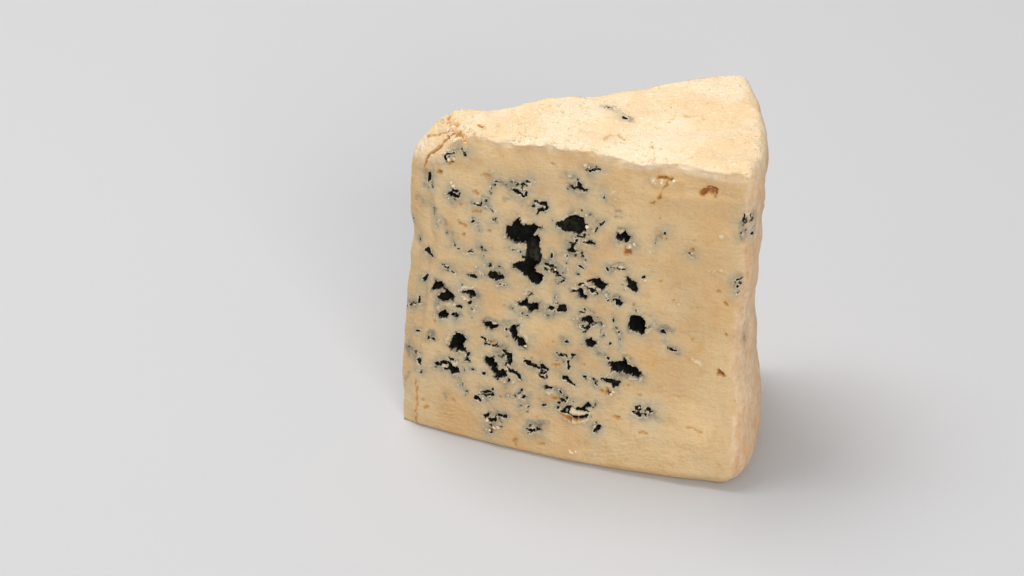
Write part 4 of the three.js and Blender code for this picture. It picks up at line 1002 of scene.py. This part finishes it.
def cheese_material():
    """Paste, rind and side rind are mixed by their fields, then haze, ochre with painted crease shade, torn
    paste with a painted highlight, and mould painted near black as the shade of the openings laid over them,
    each where the distance to its marks, roughened by fine noise, runs below a threshold."""
    material = bpy.data.materials.new("blue_cheese")
    node = tree_of(material)
    place = node("ShaderNodeTexCoord").outputs["Object"]

    def noise(scale, detail=3.0, rough=0.5, stretch=None):
        at = place
        if stretch:
            at = node("ShaderNodeMapping", Vector=place, Scale=stretch).outputs["Vector"]
        made = node("ShaderNodeTexNoise", Vector=at, Scale=scale, Detail=detail, Roughness=rough)
        return made.outputs["Fac"]

    def ramp(value, low, high, start=0.0, end=1.0):
        return node("ShaderNodeMapRange", Value=value, From_Min=low, From_Max=high, To_Min=start, To_Max=end,
                    interpolation_type="SMOOTHSTEP").outputs["Result"]

    def mix(factor, first, second):
        return node("ShaderNodeMix", data_type="RGBA", i0=factor, i6=first, i7=second).outputs[2]

    def combined(operation, first, second):
        return node("ShaderNodeMath", operation=operation, i0=first, i1=second).outputs[0]

    def plus(first, second):
        return combined("ADD", first, second)

    def times(first, second):
        return combined("MULTIPLY", first, second)

    def field(name):
        return node("ShaderNodeAttribute", attribute_name=name).outputs["Fac"]

    def clouded(first, second, pattern, low, high):
        """First colour where a pattern is low, second where it is high."""
        return mix(ramp(pattern, low, high), first, second)

    def spotted(colour, spots, pattern, low, high, share):
        """Spots of another colour where a pattern is high."""
        return mix(ramp(pattern, low, high, 0, share), colour, spots)

    # where each kind of mark is, and a painted highlight on the pale torn rim just outside an opening
    ragged_edge = times(plus(noise(1900, 2, 0.6), -0.5), 0.34)
    edge = plus(field("edge"), ragged_edge)
    mould = ramp(edge, -0.07, 0.05, 1, 0)
    torn = ramp(plus(field("torn"), ragged_edge), -0.12, 0.12, 1, 0)
    white = ramp(plus(field("white"), ragged_edge), -0.4, -0.02, 1, 0)
    ochre_edge = plus(field("ochre"), ragged_edge)
    just_outside = times(ramp(edge, 0.0, 0.08), ramp(edge, 0.12, 0.3, 1, 0))
    painted_rim_highlight = times(just_outside, ramp(noise(420, 2), 0.45, 0.55, 0, 0.7))
    olive, haze, veil, rind, side = [field(name) for name in ("olive", "haze", "veil", "rind", "side")]

    # the cheese itself: paste of the cuts, crust of the top and rind of the side
    paste = clouded(PASTE_DEEP, PASTE_PALE, noise(45), 0.35, 0.65)
    paste = mix(times(veil, ramp(noise(160), 0.3, 0.6, 0.6, 1.0)), paste, PASTE_GREY)
    paste = spotted(paste, PASTE_OCHRE, noise(240, 4), 0.50, 0.74, 0.4)
    paste = spotted(paste, PASTE_OCHRE, noise(1500), 0.56, 0.72, 0.35)
    crust = clouded(RIND_DEEP, RIND_PALE, noise(60, 4), 0.38, 0.66)
    crust = spotted(crust, RIND_OCHRE, noise(330, 4), 0.58, 0.75, 0.4)
    crust = spotted(crust, RIND_OCHRE, noise(1300), 0.56, 0.70, 0.4)
    crust = spotted(crust, RIND_CRYSTAL, noise(900), 0.60, 0.72, 0.55)
    streaks = noise(420, 4, 0.6, UPRIGHT)
    streaked = plus(times(noise(150, 4, 0.6), 0.5), times(streaks, 0.5))
    flank = clouded(SIDE_DEEP, SIDE_PALE, streaked, 0.36, 0.62)
    flank = spotted(flank, SIDE_DARK, noise(700, 4, 0.6), 0.5, 0.7, 0.45)
    colour = mix(rind, paste, mix(side, crust, flank))
    # over it the haze, the ochre marks with their painted crease shade, the torn paste with its painted
    # highlight, and last the mould, painted near black as shade in the openings and paler where a floor runs
    # out
    grey = clouded(HAZE_DARK, HAZE_PALE, noise(300, 4), 0.35, 0.65)
    veiled = times(haze, ramp(noise(900, 4, 0.6), 0.3, 0.62, 0.5, 1.0))
    colour = mix(times(veiled, 0.82), colour, grey)
    # ochre: the paste's own orange-brown pits, and painted shade along creases and hollows, deeper in colour
    # towards the middle of each mark
    ochre_and_crease_shade = clouded(OCHRE_DEEP, OCHRE_PALE, ochre_edge, -0.55, -0.05)
    colour = mix(ramp(ochre_edge, -0.2, 0.45, 0.9, 0), colour, ochre_and_crease_shade)
    # torn paste: its own paler colour, pushed whiter as a painted highlight on the raised lips
    colour = mix(times(white, 0.6), colour, TORN_WHITE_AND_HIGHLIGHT)
    # painted highlight: the torn rim just outside each opening, mixed towards torn white
    colour = mix(painted_rim_highlight, colour, TORN_WHITE_AND_HIGHLIGHT)
    colour = mix(times(torn, 0.9), colour, TORN_DARK)
    # mould lining: the mould's own dark green, painted near black as the shade inside the openings, paler
    # olive where a floor runs out
    lining_and_shade = clouded(SHADED_MOULD_BLACK, MOULD_GREEN, noise(650, 4), 0.45, 0.7)
    run_out = clouded(FLOOR_DARK, FLOOR_PALE, noise(900, 4, 0.6), 0.4, 0.6)
    colour = mix(mould, colour, mix(olive, lining_and_shade, run_out))

    # fine relief, drawn out along the blade's stroke; paste is moist, rind and mould are dull
    drag = noise(900, 4, 0.6, DRAWN_OUT)
    height = plus(times(noise(1400, 4, 0.6), 0.3), noise(420, 4, 0.55))
    height = plus(times(height, ramp(rind, 0, 1, 0.75, 1.0)), times(drag, 0.8))
    bump = node("ShaderNodeBump", Strength=0.9, Distance=0.7 * MM, Height=height).outputs["Normal"]
    rough = combined("MAXIMUM", ramp(noise(500), 0.35, 0.65, 0.42, 0.6), times(rind, 0.66))
    rough = combined("MAXIMUM", rough, times(mould, 0.9))
    shader = node("ShaderNodeBsdfPrincipled", Base_Color=colour, Roughness=rough, Normal=bump, IOR=1.42)
    shader.inputs["Subsurface Weight"].default_value = 0.16
    shader.inputs["Subsurface Radius"].default_value = (1.0, 0.55, 0.28)
    shader.inputs["Subsurface Scale"].default_value = 0.0016
    shader.inputs["Specular IOR Level"].default_value = 0.4
    node("ShaderNodeOutputMaterial", Surface=shader.outputs[0])
    return material


cheese.data.materials.append(cheese_material())
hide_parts("cheese_wedge")
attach(cheese, "root")

# Grains of the rind: dried salt and crumbs of paste stuck to the top, thickest near the front lip and in
# patches, with none in the crack.
GRAIN_COUNT, GRAIN_SIZE = 3400, (0.16, 0.42)
GRAINS_OFF_CRACK, GRAINS_ABOVE = 1.4, -0.1


def grain_shape():
    """Corners and faces of a regular twenty-sided lump."""
    gold = (1 + 5 ** 0.5) / 2
    corners = np.array([(s, t * gold, 0) for s in (-1, 1) for t in (-1, 1)])
    corners = np.concatenate([corners, corners[:, [2, 0, 1]], corners[:, [1, 2, 0]]]) / math.hypot(1, gold)
    side = 2 / math.hypot(1, gold) * 1.01
    near = np.linalg.norm(corners[:, None] - corners[None], axis=-1) < side
    faces = np.array([(i, j, k) for i in range(12) for j in range(i + 1, 12) for k in range(j + 1, 12)
                      if near[i, j] and near[j, k] and near[i, k]])
    first, second, third = corners[faces].transpose(1, 0, 2)
    inward = (np.cross(second - first, third - first) * first).sum(-1) <= 0
    faces[inward] = faces[inward, ::-1]
    return corners, faces


def lumps(centres, sizes, seed):
    """Points and faces of many uneven lumps: one twenty-sided shape, its corners pushed in and out, stretched
    and turned at random for each."""
    random = np.random.default_rng(seed)
    corners, faces = grain_shape()
    count = len(centres)
    shaped = corners * random.uniform(0.7, 1.25, (count, 12, 1)) * random.uniform(0.6, 1.3, (count, 1, 3))
    turns, _ = np.linalg.qr(random.normal(size=(count, 3, 3)))
    turns *= np.sign(np.linalg.det(turns))[:, None, None]
    vertices = np.einsum("nij,nkj->nki", turns, shaped) * np.reshape(sizes, (-1, 1, 1)) + centres[:, None]
    return vertices.reshape(-1, 3), (faces[None] + 12 * np.arange(count)[:, None, None]).reshape(-1, 3)


random = np.random.default_rng(5)
grain_a = random.uniform(0.03, 0.99, GRAIN_COUNT)
grain_b = random.uniform(0.01, 0.99, GRAIN_COUNT) ** 1.5
grain_at = grained(surface(grain_a, grain_b, np.ones(GRAIN_COUNT)))
grain_sizes = lerp(*GRAIN_SIZE, random.uniform(0, 1, GRAIN_COUNT) ** 2.5)
patchy = unevenness(75, 14, 10)(grain_at) + 0.6 * unevenness(76, 4, 10)(grain_at) - 1.2 * (grain_a - 0.35)
kept = (to_path(grain_at[:, :2], TIP_CRACK) > GRAINS_OFF_CRACK) & (patchy > GRAINS_ABOVE)
grain_vertices, grain_faces = lumps(grain_at[kept], grain_sizes[kept], 6)
grains = mesh_piece("rind_grains", grain_vertices, [grain_faces])


def grain_material():
    """Pale, slightly glassy grains, a little yellower in places."""
    material = bpy.data.materials.new("rind_grain")
    node = tree_of(material)
    place = node("ShaderNodeTexCoord").outputs["Object"]
    noise = node("ShaderNodeTexNoise", Vector=place, Scale=600.0, Detail=3.0).outputs["Fac"]
    share = node("ShaderNodeMapRange", Value=noise, From_Min=0.4, From_Max=0.6).outputs["Result"]
    colour = node("ShaderNodeMix", data_type="RGBA", i0=share, i6=GRAIN_DEEP, i7=GRAIN_PALE)
    shader = node("ShaderNodeBsdfPrincipled", Base_Color=colour.outputs[2], Roughness=0.45)
    shader.inputs["Subsurface Weight"].default_value = 0.3
    shader.inputs["Subsurface Scale"].default_value = 0.0008
    node("ShaderNodeOutputMaterial", Surface=shader.outputs[0])
    return material


grains.data.materials.append(grain_material())
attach(grains, "root")

# Crumbs: bits of paste that the blade tore off and left beside the openings and along the foot of the cut.
# Millimetres along and up, and size; strays are added by rule near the edges of the openings.
CRUMBS = [
    (47.7, 73.2, 0.55), (39.4, 59.2, 0.5), (37.5, 58, 0.45), (66, 58.5, 0.5), (76.6, 53.4, 0.4),
    (78.3, 69.6, 0.5), (32, 34.1, 0.45), (65.7, 68, 0.4), (7, 80.7, 0.55), (7.8, 79.9, 0.6),
    (15.4, 75.5, 0.4), (46.6, 90.8, 0.5), (45.4, 91.2, 0.6), (27.6, 80.9, 0.45), (21.6, 8.4, 0.6),
    (23.6, 6.5, 0.6), (24.6, 6.9, 0.5), (22.4, 5.2, 0.5), (60.2, 69, 0.6), (61.4, 69.9, 0.5),
    (59.4, 68.6, 0.5), (45.6, 4.4, 0.7), (46.4, 3.9, 0.6), (47.2, 4.6, 0.45), (57.4, 23.2, 0.45),
    (58.2, 24, 0.5), (38.6, 20.7, 0.45), (66.2, 20.8, 0.4), (65.2, 90.6, 0.7), (65.9, 89.8, 0.6),
    (67.6, 90.2, 0.5), (4.2, 89.2, 0.4), (3.3, 87.9, 0.4), (12.4, 43.4, 0.5), (13.4, 43.6, 0.45),
    (71.2, 91.2, 0.5),
]
STRAY_CRUMBS, STRAY_TRIED, STRAY_FROM_EDGE, STRAY_SIZE = 130, 9000, (0.15, 1.0), (0.12, 0.3)
OFF_FACE = (0, -0.1, 0)

stray = random.choice(len(front_cut.points), STRAY_TRIED, replace=False)
beside = (front_cut.edge[stray] > STRAY_FROM_EDGE[0]) & (front_cut.edge[stray] < STRAY_FROM_EDGE[1])
stray = stray[beside][:STRAY_CRUMBS]
stray_at = front_points.reshape(-1, 3)[stray]
listed = np.array(CRUMBS)
listed_a = listed[:, 0] / WEDGE_LENGTH
listed_at = surface(listed_a, 0, listed[:, 1] / lerp(HEIGHT_AT_TIP, HEIGHT_AT_RIND, listed_a))
crumb_at = np.concatenate([listed_at, stray_at]) + OFF_FACE
crumb_sizes = np.concatenate([listed[:, 2], lerp(*STRAY_SIZE, random.uniform(0, 1, len(stray_at)) ** 2)])
crumb_vertices, crumb_faces = lumps(crumb_at, crumb_sizes, 7)
crumbs = mesh_piece("crumbs", crumb_vertices, [crumb_faces])
crumbs.data.materials.append(bpy.data.materials["rind_grain"])
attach(crumbs, "root")

# The floor and the wall behind it: one pale sheet, curved up at the back.
FLOOR_HALF_WIDTH, FLOOR_FRONT, WALL_AT, WALL_ROUND, WALL_HIGH = 3.0, -3.0, 1.6, 0.6, 2.6

turn = np.linspace(0, np.pi / 2, 17)
sweep_y = np.concatenate([[FLOOR_FRONT], WALL_AT - WALL_ROUND + WALL_ROUND * np.sin(turn), [WALL_AT]])
sweep_z = np.concatenate([[0], WALL_ROUND * (1 - np.cos(turn)), [WALL_HIGH]])
floor_mesh = bpy.data.meshes.new("floor")
floor_points = [(x, y, z) for y, z in zip(sweep_y, sweep_z) for x in (-FLOOR_HALF_WIDTH, FLOOR_HALF_WIDTH)]
floor_faces = [(2 * k, 2 * k + 1, 2 * k + 3, 2 * k + 2) for k in range(len(sweep_y) - 1)]
floor_mesh.from_pydata(floor_points, [], floor_faces)
floor_mesh.polygons.foreach_set("use_smooth", np.full(len(floor_mesh.polygons), True))
floor = bpy.data.objects.new("floor", floor_mesh)
bpy.context.scene.collection.objects.link(floor)
floor_material = bpy.data.materials.new("pale_floor")
floor_material.use_nodes = True
floor_shader = floor_material.node_tree.nodes["Principled BSDF"]
floor_shader.inputs["Base Color"].default_value = linear(204, 203, 203)
floor_shader.inputs["Roughness"].default_value = 0.9
floor_mesh.materials.append(floor_material)


# Light: a large soft panel above, a little to the left and behind, one in front, and a pale room.
def panel(name, place, aim, size, power):
    """A soft rectangular light at a place, turned to shine at a point."""
    light = bpy.data.lights.new(name, "AREA")
    light.shape = "RECTANGLE"
    light.size, light.size_y = size
    light.energy = power
    lamp = bpy.data.objects.new(name, light)
    lamp.location = place
    lamp.rotation_euler = (Vector(aim) - Vector(place)).to_track_quat("-Z", "Y").to_euler()
    bpy.context.scene.collection.objects.link(lamp)


panel("key_panel", (-0.35, 0.25, 1.15), (0, 0, 0.06), (0.8, 0.6), 9.8)
panel("front_panel", (0.35, -1.5, 1.0), (0, 0, 0.07), (0.8, 0.6), 12.5)
world = bpy.data.worlds.new("pale_room")
world.use_nodes = True
world.node_tree.nodes["Background"].inputs["Color"].default_value = (0.95, 0.97, 1.0, 1)
world.node_tree.nodes["Background"].inputs["Strength"].default_value = 0.45
bpy.context.scene.world = world
bpy.context.scene.view_settings.view_transform = "Standard"

# The camera looks down on the front cut through a long lens, tilted by degrees from straight down.
CAMERA_AT, CAMERA_TILT = (-0.01932, -1.16088, 0.77114), 58
CAMERA_LENS, CAMERA_SENSOR = 175.78, 36

camera_data = bpy.data.cameras.new("camera")
camera_data.sensor_width = CAMERA_SENSOR
camera_data.lens = CAMERA_LENS
camera = bpy.data.objects.new("camera", camera_data)
camera.location = CAMERA_AT
camera.rotation_euler = (math.radians(CAMERA_TILT), 0, 0)
bpy.context.scene.collection.objects.link(camera)
bpy.context.scene.camera = camera
